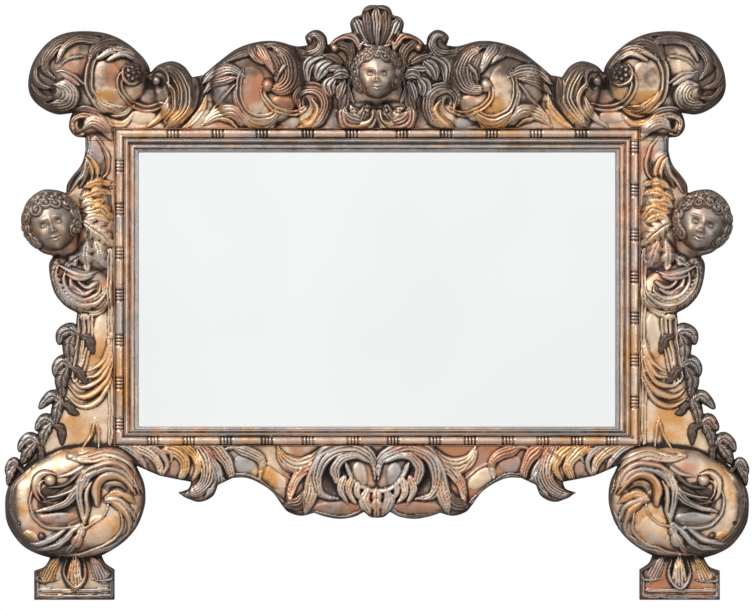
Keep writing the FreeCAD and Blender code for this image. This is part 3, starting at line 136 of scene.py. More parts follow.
def smooth_line(points: Array, step: float = 1.6) -> Array:
    """A smooth line through points, sampled evenly enough for distances.

    Args:
        points: the points that it passes.
        step: the length of one sample, in mm.

    Returns:
        An array of (across, up) pairs.
    """
    if len(points) == 2:
        count = max(int(np.hypot(*(points[1] - points[0])) / step), 1)
        share = np.linspace(0, 1, count + 1)[:, None]
        return points[0] * (1 - share) + points[1] * share
    padded = np.vstack([2 * points[0] - points[1], points, 2 * points[-1] - points[-2]])
    line = []
    for p0, p1, p2, p3 in zip(padded, padded[1:], padded[2:], padded[3:]):
        count = max(int(np.hypot(*(p2 - p1)) / step), 2)
        t = np.linspace(0, 1, count, endpoint=False)[:, None]
        line.append(
            0.5 * (2 * p1 + (p2 - p0) * t + (2 * p0 - 5 * p1 + 4 * p2 - p3) * t**2
                   + (3 * p1 - 3 * p2 + p3 - p0) * t**3)
        )
    return np.vstack([*line, points[-1:]])


def clamped(values: Array) -> Array:
    """Values held between 0 and 1."""
    return np.clip(values, 0, 1)


def arch(at: Array) -> Array:
    """The height of a round arch, from 1 in its middle to 0 at a share of 1 to each side."""
    return np.sqrt(clamped(1 - at**2))


def holds(outline: Array, u: Array, v: Array) -> Array:
    """Which points a closed outline holds, by counting the sides that lie to the right of each.

    Args:
        outline: its corners as (across, up) rows.
        u: the points' places across.
        v: the points' places up.

    Returns:
        True for each point that it holds.
    """
    result = np.zeros(u.shape, dtype=bool)
    for (ua, va), (ub, vb) in zip(outline, np.roll(outline, -1, axis=0)):
        if va != vb:
            crosses = (v > va) != (v > vb)
            result ^= crosses & (u < (ub - ua) * (v - va) / (vb - va) + ua)
    return result


def blurred(values: Array, sigma: float) -> Array:
    """A grid of values softened by a bell of a given width in cells."""
    reach = max(int(3 * sigma), 1)
    kernel = np.exp(-0.5 * (np.arange(-reach, reach + 1) / sigma) ** 2)
    kernel /= kernel.sum()
    padded = np.pad(values, reach, mode="edge")
    rows = sum(w * padded[:, i:i + values.shape[1]] for i, w in enumerate(kernel))
    return sum(w * rows[i:i + values.shape[0]] for i, w in enumerate(kernel))


class Section(Enum):
    """The cross-section of a stroke."""

    ROUND = "round"
    RIDGE = "ridge"
    FLUTED = "fluted"
    CHANNEL = "channel"
    LEAF = "leaf"


class Taper(Enum):
    """How a stroke's width changes from its first point to its last."""

    LEAF = "leaf"
    TAIL = "tail"
    HORN = "horn"
    RAIL = "rail"


class Tone(Enum):
    """What the metal has worn to: weights of gold and of silver over the copper, and of brown tarnish."""

    COPPER = (-0.05, 0.05, 0.28)
    SAND = (0.5, 0.15, -0.3)
    LIGHT = (0.55, -0.15, -0.8)
    GOLD = (1.1, -0.1, 0.0)
    PALE = (0.4, 0.5, -0.1)
    STEEL = (0.0, 0.75, 0.15)
    DULL = (0.2, 0.6, 0.62)
    # tarnish, which on hollows and outer rims also stands for painted shade
    BROWN = (0.1, 0.4, 1.35)
    KEEP = (-1.0, -1.0, -1.0)


COPPER, SAND, LIGHT, GOLD, PALE = Tone.COPPER, Tone.SAND, Tone.LIGHT, Tone.GOLD, Tone.PALE
STEEL, DULL, BROWN, KEEP = Tone.STEEL, Tone.DULL, Tone.BROWN, Tone.KEEP


@dataclass(frozen=True)
class Stroke:
    """One raised strand, rail or leaf.

    Attributes:
        section: its cross-section.
        taper: how its width runs.
        width: its full width in mm.
        crest: heights of its crest above what carries it, evenly spaced along it, in mm.
        drop: how far its edges lie below its crest, in mm.
        points: its centre line in pixels of the left half.
        ridges: how many flutes or lobes it has.
        tone: the colour of its metal.
    """

    section: Section
    taper: Taper
    width: float
    crest: tuple[float, ...]
    drop: float
    points: Points
    ridges: int = 1
    tone: Tone = KEEP


@dataclass(frozen=True)
class Mound:
    """A smooth swelling or hollow.

    Attributes:
        centre: its middle in pixels of the left half.
        reach: its half width and half height in mm.
        rise: its height above what carries it in mm, or its depth where it is negative.
        turn: its turn against the clock, in degrees.
        tone: the colour of its metal.
        rim: true where a chased line runs round it.
    """

    centre: tuple[float, float]
    reach: tuple[float, float]
    rise: float
    turn: float = 0.0
    tone: Tone = KEEP
    rim: bool = True


@dataclass(frozen=True)
class Panel:
    """A raised body: its outline in pixels, its rise and the width of its shoulder in mm."""

    points: Points
    rise: float
    shoulder: float


def taper_share(taper: Taper, t: Array) -> Array:
    """The share of the full width at each share of the length.

    Args:
        taper: how the width runs.
        t: shares of the length.

    Returns:
        Shares of the width.
    """
    if taper is Taper.LEAF:
        return np.sin(np.pi * np.clip(t, 0.02, 0.98)) ** 0.7
    if taper is Taper.TAIL:
        return np.sqrt(clamped(1.04 - t)) * clamped(0.55 + 3 * t)
    if taper is Taper.HORN:
        return np.sqrt(clamped(t + 0.04)) * clamped(0.55 + 3 * (1 - t))
    return clamped(0.55 + 8 * np.minimum(t, 1 - t))


@dataclass
class Grid:
    """The front plane as a grid of heights, chased lines darkened with dirt and painted shade, and colours,
    all in mm and shares.
    """

    across: Array
    up: Array
    cell: float
    u: Array = field(init=False)
    v: Array = field(init=False)
    body: Array = field(init=False)
    height: Array = field(init=False)
    line: Array = field(init=False)
    grain: Array = field(init=False)
    tones: list[Array] = field(init=False)
    hand: list[Array] = field(init=False)

    def __post_init__(self) -> None:
        """Lays out the empty grid."""
        self.u, self.v = np.meshgrid(self.across, self.up)
        self.body = np.zeros_like(self.u)
        self.height = np.zeros_like(self.u)
        self.line = np.zeros_like(self.u)
        self.grain = np.zeros_like(self.u)
        self.tones = [np.full_like(self.u, start) for start in (0.25, 0.12, 0.1)]
        rng = np.random.default_rng(SEED)
        waves = [blurred(rng.normal(0, 1, self.u.shape), reach / self.cell) for reach in (4.0, 4.0, 2.2)]
        waves = [wave / wave.std() for wave in waves]
        self.hand = [self.u + 0.4 * waves[0], self.v + 0.4 * waves[1], waves[2]]

    def window(self, points: Array, reach: float) -> Window:
        """The part of the grid within reach of some points."""
        low, high = points.min(axis=0) - reach, points.max(axis=0) + reach
        columns = np.searchsorted(self.across, (low[0], high[0]))
        rows = np.searchsorted(self.up, (low[1], high[1]))
        return slice(int(rows[0]), int(rows[1]) + 1), slice(int(columns[0]), int(columns[1]) + 1)

    def nearest(self, line: Array, box: Window) -> tuple[Array, Array, Array]:
        """How each point of a window lies to a line.

        Args:
            line: the sampled line.
            box: the window.

        Returns:
            The share of the line's length at the nearest point, the distance, and the side as -1 or 1.
        """
        start, step = line[:-1], np.diff(line, axis=0)
        length = np.hypot(step[:, 0], step[:, 1])
        run = np.concatenate([[0.0], np.cumsum(length)])
        u, v = self.hand[0][box].ravel(), self.hand[1][box].ravel()
        best = np.full(u.shape, np.inf)
        share = np.zeros_like(u)
        way = np.ones_like(u)
        for i in range(len(step)):
            du, dv = u - start[i, 0], v - start[i, 1]
            t = clamped((du * step[i, 0] + dv * step[i, 1]) / length[i] ** 2)
            eu, ev = du - t * step[i, 0], dv - t * step[i, 1]
            far = eu * eu + ev * ev
            closer = far < best
            best[closer] = far[closer]
            share[closer] = (run[i] + t[closer] * length[i]) / run[-1]
            way[closer] = np.where(step[i, 0] * ev[closer] - step[i, 1] * eu[closer] >= 0, 1.0, -1.0)
        shape = self.u[box].shape
        return share.reshape(shape), np.sqrt(best).reshape(shape), way.reshape(shape)

    def tint(self, box: Window, weight: Array | float, tone: Tone) -> None:
        """Leans the colour of a window towards a tone by a weight from 0 to 1."""
        if tone is KEEP:
            return
        for layer, target in zip(self.tones, tone.value):
            layer[box] += (target - layer[box]) * weight

    def raise_panel(self, panel: Panel, side: int) -> None:
        """Pushes up a body with its own outline."""
        points = plane(panel.points, side)
        outline = smooth_line(np.vstack([points, points[:1]]), 2.5)
        box = self.window(outline, 2.0)
        _, far, _ = self.nearest(outline, box)
        inside = holds(outline[:-1], self.hand[0][box], self.hand[1][box])
        far = np.where(inside, np.minimum(far / panel.shoulder, 1), 0)
        swelling = panel.rise * arch(1 - far)
        self.body[box] = np.maximum(self.body[box], swelling)
        self.height[box] = np.maximum(self.height[box], self.body[box])

    def raise_mound(self, mound: Mound, side: int) -> None:
        """Pushes up a swelling, or sinks a hollow."""
        centre = plane([mound.centre], side)[0]
        reach = max(mound.reach)
        box = self.window(centre[None, :], reach + 3)
        turn = math.radians(mound.turn) * side
        du, dv = self.hand[0][box] - centre[0], self.hand[1][box] - centre[1]
        a = (du * math.cos(turn) + dv * math.sin(turn)) / mound.reach[0]
        b = (-du * math.sin(turn) + dv * math.cos(turn)) / mound.reach[1]
        far = np.hypot(a, b)
        bulge = arch(far)
        height = self.height[box]
        where = far < 1
        if mound.rise > 0:
            swelling = self.body[box] + mound.rise * bulge
            height[where] = np.maximum(swelling, height - 0.6 * mound.rise)[where]
        else:
            height += mound.rise * bulge**2
        self.line[box][where] *= 0.2
        self.grain[box][where & mound.rim] = 0
        self.tint(box, TONE_STRENGTH * where, mound.tone)
        if mound.rim:
            # the chased line round it is darkened with dirt and painted shade
            ring = clamped(1 - np.abs((far - 1) * min(mound.reach)) / RIM_LINE)
            height -= 0.6 * ring
            self.line[box] = np.maximum(self.line[box], 0.7 * ring)

    def work(
        self, items: Iterable[Stroke | Mound], side: int, jitter: float, rng: np.random.Generator
    ) -> None:
        """Works strokes and mounds into the grid, one over another.

        Args:
            items: what is worked, the lowest first.
            side: 1 for the left half, -1 for the right.
            jitter: how far the hand strays, in mm.
            rng: where the straying comes from.
        """
        for item in items:
            if isinstance(item, Mound):
                self.raise_mound(item, side)
            else:
                self.lay(item, side, jitter, rng)

    def lay(self, stroke: Stroke, side: int, jitter: float, rng: np.random.Generator) -> None:
        """Lays a strand or a leaf over what is there, and drives in a line beside it, darkened with dirt and
        a painted shadow.

        Args:
            stroke: what is laid.
            side: 1 for the left half, -1 for the right.
            jitter: how far the hand strays, in mm.
            rng: where the straying comes from.
        """
        points = plane(stroke.points, side)
        if jitter:
            points = points + rng.normal(0, jitter, points.shape)
        path = smooth_line(points)
        half = stroke.width / 2
        box = self.window(path, half + 3)
        share, far, way = self.nearest(path, box)
        length = float(np.hypot(*np.diff(path, axis=0).T).sum())
        wide = half * taper_share(stroke.taper, share)
        grain = far * way
        if stroke.section is Section.LEAF:
            lobe = np.abs(np.sin(np.pi * stroke.ridges * clamped(share - 0.5 * far / length)))
            wide = wide * (1 - 0.34 * (1 - lobe))
            grain = share * length - 0.9 * far
        at = clamped(far / np.maximum(wide, 0.05))
        if stroke.section is Section.LEAF:
            veins = clamped(1 - lobe / 0.22) * clamped(far / np.maximum(wide, 0.1))
            rib = np.exp(-(far**2))
            form = arch(at) * (1 - 0.28 * veins) - 0.16 * rib
            pattern, soft = np.maximum(veins, 0.8 * rib), 1.0
        else:
            form, pattern, soft = self._section(stroke, path, at * way)
        crest = np.interp(share, np.linspace(0, 1, len(stroke.crest)), stroke.crest)
        crest = crest + self.body[box]
        surface = crest - stroke.drop * (1 - form)
        height = self.height[box]
        within = (far < wide) & (surface > height - SUNK)
        beside = (far >= wide) & (far < wide + CHASED_WIDTH) & (crest - 0.5 * stroke.drop > height)
        strength = np.clip(0.7 + 0.3 * self.hand[2][box], 0.25, 1)
        edge = clamped(1 - (far - wide) / CHASED_WIDTH) * strength * (1 - 0.4 * soft)
        height[beside] -= CHASED_DEPTH * edge[beside]
        height[within] = surface[within]
        line = self.line[box]
        # the groove beside the stroke is darkened with dirt and a painted shadow, strongest beside the steep
        # side
        line[beside] = np.maximum(line[beside], 0.85 * edge[beside])
        # the stroke's border is darkened as painted shade, most on the long slope that falls away, and its
        # grooves with dirt and painted shade
        border = clamped((at - 0.8) / 0.2) * 0.55 * strength
        line[within] = np.maximum(0.75 * pattern, border * (0.2 + 0.8 * soft))[within]
        self.grain[box][within] = grain[within]
        self.tint(box, TONE_STRENGTH * within, stroke.tone)

    def _section(self, stroke: Stroke, path: Array, place: Array) -> tuple[Array, Array, Array | float]:
        """The section of a stroke that is no leaf.

        Args:
            stroke: the stroke.
            path: its centre line.
            place: where each point lies across it, from -1 to 1.

        Returns:
            The height from 0 to 1, the lines in it from 0 to 1, and how gently it slopes from 0 to 1.
        """
        at = np.abs(place)
        if stroke.section is Section.RIDGE:
            return 1 - at, np.zeros_like(at), 1.0
        if stroke.section is Section.CHANNEL:
            form = 0.35 + 0.65 * clamped((at - 0.25) / 0.4)
            form = np.where(at > 0.78, form * np.sqrt(clamped((1 - at) / 0.22)), form)
            return form, clamped(1 - at / 0.45), 1.0
        count = stroke.ridges if stroke.section is Section.FLUTED else round(stroke.width / 2.8)
        lines = (place + 1) / 2 * count
        gap = np.abs(lines - np.floor(lines) - 0.5) * 2
        if stroke.section is Section.FLUTED:
            return arch(at) ** 0.7 * (1 - 0.42 * gap**3), gap**4 * (at < 0.97), 1.0
        form, soft = self._blade(path, place)
        marks = gap**3 * (at < 0.9) if stroke.width >= 6 else np.zeros_like(at)
        return form - 0.1 * marks, 0.5 * marks, soft

    @staticmethod
    def _blade(path: Array, at: Array) -> tuple[Array, Array]:
        """A section whose crest leans towards the side that the path bulges to, as beaten leaves overlap.

        Args:
            path: the centre line.
            at: where each point lies across it, from -1 to 1.

        Returns:
            The height from 0 to 1, and 1 on the long slope and 0 on the short one.
        """
        step = np.diff(path, axis=0)
        turn = np.arctan2(
            step[:-1, 0] * step[1:, 1] - step[:-1, 1] * step[1:, 0], (step[:-1] * step[1:]).sum(axis=1)
        ).sum()
        crest = -0.36 * float(np.clip(turn / 0.5, -1, 1))
        away = np.where(at > crest, (at - crest) / (1 - crest), (crest - at) / (1 + crest))
        steep = arch(away)
        gentle = np.cos(clamped(away) * math.pi / 2) ** 0.9
        short = (at > crest) == (crest > 0)
        return np.where(short, steep, gentle), np.where(short, 0.0, 1.0)


def rounded(
    taper: Taper, rise: tuple[float, ...], width: float, crest: float, points: Points, tone: Tone
) -> Stroke:
    """A rounded strand whose crest runs through shares of its height."""
    crests = tuple(crest * share for share in rise)
    return Stroke(Section.ROUND, taper, width, crests, 0.45 * width, points, 1, tone)


def strand(
    width: float, crest: float, points: Points, taper: Taper = Taper.LEAF, tone: Tone = KEEP
) -> Stroke:
    """A rounded strand that stands steeply beside the next one."""
    return rounded(taper, (0.75, 1.0, 0.8), width, crest, points, tone)


def tail(width: float, crest: float, points: Points, tone: Tone = KEEP) -> Stroke:
    """A strand that is widest where it starts and runs out to a point."""
    return rounded(Taper.TAIL, (1.0, 1.0, 0.6), width, crest, points, tone)


def horn(width: float, crest: float, points: Points, tone: Tone = KEEP) -> Stroke:
    """A strand that starts from a point and swells towards its end."""
    return rounded(Taper.HORN, (0.6, 1.0, 1.0), width, crest, points, tone)


def rail(width: float, crest: float, points: Points, tone: Tone = KEEP) -> Stroke:
    """A scroll rail with a raised rim on each side of a sunk middle."""
    drop = min(crest, 0.5 * width)
    return Stroke(Section.CHANNEL, Taper.RAIL, width, (crest, crest), drop, points, 1, tone)


def rib(width: float, crest: float, points: Points, tone: Tone = KEEP) -> Stroke:
    """A thin sharp rib."""
    return Stroke(Section.RIDGE, Taper.LEAF, width, (crest, crest), crest + 0.2, points, 1, tone)


def flutes(
    width: float, crest: float, count: int, points: Points, taper: Taper = Taper.LEAF, tone: Tone = KEEP,
    drop: float = 0.3,
) -> Stroke:
    """A broad strand with several flutes along it, whose edges drop by a share of its width."""
    rise = (crest * 0.8, crest, crest * 0.8)
    return Stroke(Section.FLUTED, taper, width, rise, drop * width, points, count, tone)


def leaf(width: float, crest: float, lobes: int, points: Points, tone: Tone = KEEP) -> Stroke:
    """A leaf with lobes on both sides of a sunk midrib."""
    rise = (crest * 0.7, crest, crest * 0.6)
    return Stroke(Section.LEAF, Taper.LEAF, width, rise, 0.4 * width, points, lobes, tone)


def dome(
    x: float, y: float, wide: float, tall: float, rise: float, turn: float = 0.0, tone: Tone = KEEP,
    rim: bool = True,
) -> Mound:
    """A smooth swelling with a chased line round it."""
    return Mound((x, y), (wide, tall), rise, turn, tone, rim)


# a smooth swelling or hollow that runs into what is round it
plain = partial(dome, rim=False)



HALF_SILHOUETTE: list[Points] = [
    [(377, 518), (370, 517), (364, 512)],
    [(364, 512), (354, 517), (340, 519), (326, 517), (314, 513)],
    [(314, 513), (301, 516), (288, 512), (281, 504)],
    [(281, 504), (272, 492), (259, 483), (246, 478), (233, 478)],
    [(233, 478), (218, 485)],
    [(218, 485), (212, 497), (197, 502), (178, 493)],
    [(178, 493), (188, 489), (191, 482)],
    [(191, 482), (175, 479), (160, 476)],
    [(160, 476), (148, 471), (135, 465)],
    [(135, 465), (143, 482), (145, 498), (143, 511), (137, 526), (127, 539), (114, 549), (101, 556)],
    [(101, 556), (105, 564), (114, 570)],
    [(114, 570), (114, 600)],
    [(114, 600), (34, 600)],
    [(34, 600), (34, 571)],
    [(34, 571), (44, 567), (50, 558)],
    [(50, 558), (37, 554), (24, 547), (14, 536), (7, 523), (5, 509), (6, 493), (12, 478)],
    [(12, 478), (28, 462), (42, 442), (54, 418), (62, 395), (68, 370), (73, 345), (77, 313)],
    [(77, 313), (65, 306), (55, 294), (50, 278), (49, 264), (53, 256)],
    [(53, 256), (41, 252), (30, 241), (23, 227), (23, 211), (29, 199), (42, 190), (56, 190), (66, 193)],
    [(66, 193), (67, 184), (73, 175), (81, 165), (85, 152), (85, 137)],
    [(85, 137), (75, 136), (69, 128), (70, 118), (73, 112)],
    [
        (73, 112), (57, 114), (42, 108), (31, 97), (28, 82), (33, 62), (46, 44),
        (62, 34), (82, 31), (105, 33), (124, 41), (140, 54), (148, 65), (150, 73),
    ],
    [(150, 73), (158, 65), (172, 61), (184, 66), (192, 77)],
    [(192, 77), (203, 75)],
    [(203, 75), (217, 63), (236, 49), (256, 42), (276, 41), (296, 46), (308, 45)],
    [(308, 45), (305, 37), (311, 31), (319, 30), (326, 36), (328, 46)],
    [(328, 46), (334, 39), (343, 34), (352, 32)],
    [(352, 32), (350, 23), (354, 17), (361, 15)],
    [(361, 15), (364, 8), (370, 5), (377, 5)],
]

CARRIERS: list[Panel] = [
    Panel([(74, 112), (56, 113), (40, 107), (30, 96), (28, 81), (34, 61), (47, 43), (63, 34), (84, 31),
           (106, 33), (124, 41), (140, 54), (149, 70), (144, 90), (130, 106), (104, 114)], 13.0, 26.0),
    Panel([(70, 134), (70, 118), (84, 112), (100, 113), (112, 122), (114, 131), (92, 133)], 5.0, 9.0),
    Panel([(150, 78), (158, 66), (172, 62), (184, 67), (192, 82), (194, 104), (184, 122), (168, 128),
           (160, 110)], 7.0, 13.0),
    Panel([(240, 126), (222, 112), (212, 92), (218, 66), (237, 50), (257, 43), (279, 42), (296, 52),
           (304, 76), (300, 98), (286, 118), (262, 127)], 12.0, 22.0),
    Panel([(304, 54), (306, 44), (305, 37), (312, 31), (320, 31), (327, 38), (328, 50), (318, 58)], 5.0, 8.0),
    Panel([(297, 112), (298, 94), (312, 86), (326, 92), (329, 108), (320, 127), (302, 127)], 5.0, 10.0),
    Panel([(336, 110), (350, 102), (376, 106), (378, 128), (340, 128)], 4.0, 10.0),
    Panel([(66, 196), (72, 172), (86, 152), (100, 160), (104, 186), (112, 214), (110, 246), (104, 268),
           (80, 262), (78, 220)], 4.0, 12.0),
    Panel([(80, 313), (64, 306), (53, 292), (49, 270), (56, 256), (74, 262), (98, 270), (113, 288),
           (110, 306)], 8.0, 20.0),
    Panel([(60, 557), (37, 553), (24, 546), (14, 535), (7, 522), (5, 508), (7, 492), (16, 478), (36, 462),
           (66, 449), (96, 447), (122, 450), (136, 466), (145, 490), (143, 512), (136, 527), (120, 544),
           (98, 555)], 16.0, 23.0),
    Panel([(180, 496), (188, 488), (190, 466), (206, 450), (216, 470), (214, 494), (198, 502)], 4.0, 9.0),
    Panel([(283, 506), (296, 484), (306, 462), (330, 448), (366, 450), (377, 470), (377, 518), (340, 517),
           (300, 514)], 6.0, 16.0),
]

# What is laid on the left half, area by area, the lowest first. Hollows toned BROWN are darkened as tarnish
# and as painted shade.
CORNER: list[Stroke | Mound] = [
    plain(83, 76, 9, 30, -2.5),
    # the rim and the swirl of leaves inside it
    flutes(11, 4.0, 3, [(34, 98), (31, 80), (38, 60), (50, 44), (66, 35), (92, 32), (120, 38)], tone=BROWN),
    flutes(12, 4.0, 3, [(31, 92), (42, 106), (60, 113), (77, 110)], tone=BROWN),
    flutes(11, 4.5, 3, [(31, 84), (36, 93), (44, 99), (54, 99)], Taper.TAIL, BROWN),
    flutes(12, 5.0, 3, [(33, 66), (35, 78), (42, 86), (52, 89)], Taper.TAIL, COPPER),
    flutes(18, 5.0, 5, [(72, 37), (56, 45), (46, 58), (46, 70), (55, 79)], Taper.TAIL, STEEL),
    flutes(12, 6.0, 3, [(99, 41), (82, 39), (67, 45), (57, 62)], Taper.TAIL, PALE),
    plain(64, 95, 12, 13, 3.5),
    flutes(18, 6.5, 5, [(55, 85), (67, 87), (71, 97), (64, 105), (48, 105)], tone=PALE),
    plain(53, 92, 5, 4.5, -1.5, 0, BROWN),
    rib(4, 3.5, [(60, 69), (69, 60), (87, 56)], PALE),
    rib(4, 3.5, [(56, 72), (68, 73), (78, 78), (88, 87)], PALE),
    plain(70, 79, 13, 3, 1.2, -30, STEEL),
    # the second bulge with its hanging leaf
    plain(109, 82, 15, 22, 2.5, 12),
    flutes(14, 3.5, 4, [(94, 90), (100, 103), (112, 111), (124, 111), (135, 105)], tone=GOLD),
    flutes(7, 3.5, 2, [(98, 113), (110, 121), (123, 124), (134, 113)], tone=GOLD),
    tail(6, 4.5, [(109, 107), (119, 111), (129, 105)], BROWN),
    rail(8, 3.5, [(97, 54), (91, 66), (89, 80), (91, 93), (98, 104), (108, 111)], COPPER),
    flutes(19, 4.5, 5, [(89, 63), (96, 50), (110, 43), (128, 47), (141, 58), (149, 77)], tone=BROWN),
    flutes(13, 6.0, 4, [(145, 68), (133, 54), (116, 50), (97, 60)], Taper.TAIL, PALE),
    flutes(8, 7.0, 2, [(137, 59), (124, 54), (107, 61)], Taper.TAIL, PALE),
    rail(7, 4.0, [(124, 72), (120, 83), (124, 95), (133, 104), (147, 109), (163, 105)], COPPER),
    strand(5, 5.0, [(127, 64), (124, 72), (126, 80), (133, 84), (142, 82)], tone=BROWN),
    plain(134, 73, 10, 10, 3.0, 0, BROWN),
    dome(134, 73, 3.0, 3.0, 4.6, 0, BROWN),
    *[dome(134 + 5.8 * math.cos(a), 73 + 5.8 * math.sin(a), 2.5, 2.5, 3.9, 0, COPPER)
      for a in np.radians(np.arange(0, 360, 52))],
    plain(150, 97, 13, 8, 2.0, -8, COPPER),
    flutes(11, 3.8, 3, [(171, 98), (166, 110), (157, 120), (147, 127)], Taper.TAIL, GOLD),
    plain(142, 117, 13, 7, 1.2),
    # bracket scroll below the volute
    flutes(13, 4.0, 4, [(75, 133), (71, 121), (80, 113), (97, 115), (112, 127)], tone=COPPER),
    flutes(14, 4.8, 4, [(82, 130), (92, 122), (104, 127), (112, 139)], tone=PALE),
    tail(4, 3.5, [(84, 134), (78, 136), (72, 132)]),
    plain(81, 124, 3.6, 5.4, -3.5, 0, BROWN),
]

HOOK: list[Stroke | Mound] = [
    flutes(12, 4.0, 3, [(151, 77), (158, 67), (172, 63), (185, 69), (193, 84), (193, 104),
                        (181, 123)], tone=BROWN),
    flutes(21, 4.8, 5, [(157, 71), (171, 70), (182, 80), (187, 96), (182, 112), (166, 128)], tone=GOLD),
    plain(171, 99, 3, 12, -2.5, 0, BROWN),
    tail(7, 4.5, [(167, 84), (174, 94), (174, 108), (164, 122)], GOLD),
    strand(5, 4.5, [(151, 84), (151, 74), (159, 69), (167, 75), (168, 90)], tone=COPPER),
    plain(161, 84, 4, 7, -3.0, 0, BROWN),
    plain(156, 81, 4.8, 5.2, 6.0, 0, PALE),
    flutes(9, 4.0, 2, [(194, 102), (192, 88), (193, 76), (197, 64)], Taper.TAIL, STEEL),
    flutes(9, 3.0, 2, [(180, 129), (194, 120), (203, 108), (206, 95)], tone=GOLD),
    plain(200, 118, 12, 6, 1.0, 38, PALE),
]

SECOND: list[Stroke | Mound] = [
    plain(252, 92, 14, 26, 2.5, 0, COPPER),
    flutes(15, 4.0, 4, [(203, 79), (221, 62), (244, 49), (268, 42), (288, 47), (301, 61), (304, 80),
                        (297, 98)], tone=BROWN),
    flutes(10, 5.0, 3, [(256, 51), (241, 55), (224, 63)], Taper.TAIL, PALE),
    flutes(10, 6.0, 3, [(250, 48), (254, 56), (263, 64)], Taper.TAIL, PALE),
    flutes(12, 4.5, 4, [(268, 50), (276, 60), (279, 72), (276, 84)], tone=BROWN),
    flutes(13, 6.5, 4, [(259, 47), (266, 58), (273, 73)], Taper.TAIL, PALE),
    flutes(22, 6.5, 6, [(272, 47), (284, 54), (291, 67), (290, 81), (281, 89), (268, 88)], tone=COPPER),
    plain(268, 86, 5.5, 7, 6.5, 0, COPPER),
    tail(5, 7.0, [(286, 66), (280, 73), (277, 80)], PALE),
    flutes(9, 4.5, 3, [(292, 54), (300, 64), (303, 79), (297, 97)], tone=STEEL),
    rail(6, 4.0, [(243, 70), (239, 84), (240, 100), (246, 112), (258, 118), (270, 116), (278, 110)], COPPER),
    rail(6, 4.0, [(263, 88), (265, 99), (273, 108), (286, 113), (299, 112), (307, 107)], GOLD),
    plain(286, 102, 13, 5.5, 1.5, -6, COPPER),
    flutes(13, 3.8, 4, [(243, 112), (252, 123), (266, 126), (279, 115)], tone=GOLD),
    flutes(14, 4.5, 4, [(202, 84), (215, 73), (231, 70), (246, 77)], tone=PALE),
    flutes(9, 4.5, 3, [(202, 95), (212, 85), (225, 81), (238, 78)], tone=COPPER),
    plain(218, 92, 14, 6, 1.2, 32, PALE),
    rib(5, 3.0, [(238, 81), (225, 96), (210, 112)], PALE),
    rib(5, 3.0, [(237, 82), (235, 97), (240, 113)], PALE),
    rib(4, 2.5, [(211, 112), (226, 107), (240, 113)]),
    plain(228, 103, 7, 5, -1.5, 0, STEEL),
    flutes(14, 4.0, 4, [(202, 126), (216, 115), (232, 112), (247, 124)], tone=SAND),
    tail(5, 4.5, [(221, 119), (230, 121), (237, 127)], GOLD),
    plain(290, 121, 13, 6.5, 1.6, -8, STEEL),
    # curl above and scroll below, towards the middle
    flutes(14, 4.5, 4, [(292, 52), (306, 56), (318, 52), (322, 42), (316, 35), (307, 38)], Taper.TAIL, STEEL),
    plain(309, 40, 4.0, 4.4, 4.0, 0, BROWN),
    flutes(14, 4.8, 4, [(300, 112), (297, 98), (304, 89), (314, 88), (323, 94), (326, 107), (321, 120),
                        (310, 129)], tone=COPPER),
    horn(11, 4.6, [(313, 100), (317, 110), (312, 121), (300, 129)], GOLD),
    plain(307, 103, 3.4, 6.0, -2.4, 16, BROWN),
]

CENTRE: list[Stroke | Mound] = [
    plain(334, 118, 10, 9, 1.0, 0, STEEL),
    flutes(15, 4.0, 4, [(340, 42), (349, 49), (352, 66)], Taper.TAIL, BROWN),
    flutes(10, 5.5, 2, [(331, 46), (337, 38), (346, 35), (355, 40), (360, 52)], tone=COPPER),
    plain(348, 41, 5, 2.6, -2.5, -10, BROWN),
    plain(335, 48, 4.6, 4.6, 6.5, 0, COPPER),
    strand(5, 5.0, [(360, 52), (362, 44), (369, 40), (377, 40)], tone=PALE),
    flutes(14, 4.5, 3, [(343, 109), (345, 122), (356, 127), (368, 124), (374, 112)], Taper.RAIL, COPPER),
    flutes(11, 5.5, 3, [(345, 111), (352, 118), (364, 123)], tone=DULL),
    flutes(8, 5.5, 2, [(350, 105), (356, 112), (362, 119)], tone=SAND),
    plain(355, 111, 3.6, 3.2, 6.0, 0, COPPER),
    flutes(11, 6.0, 3, [(361, 121), (364, 113), (369, 104)], tone=DULL),
    plain(367, 110, 3.4, 3.4, 6.5, 0, GOLD),
    tail(6, 5.5, [(361, 125), (370, 120), (374, 109)], GOLD),
]

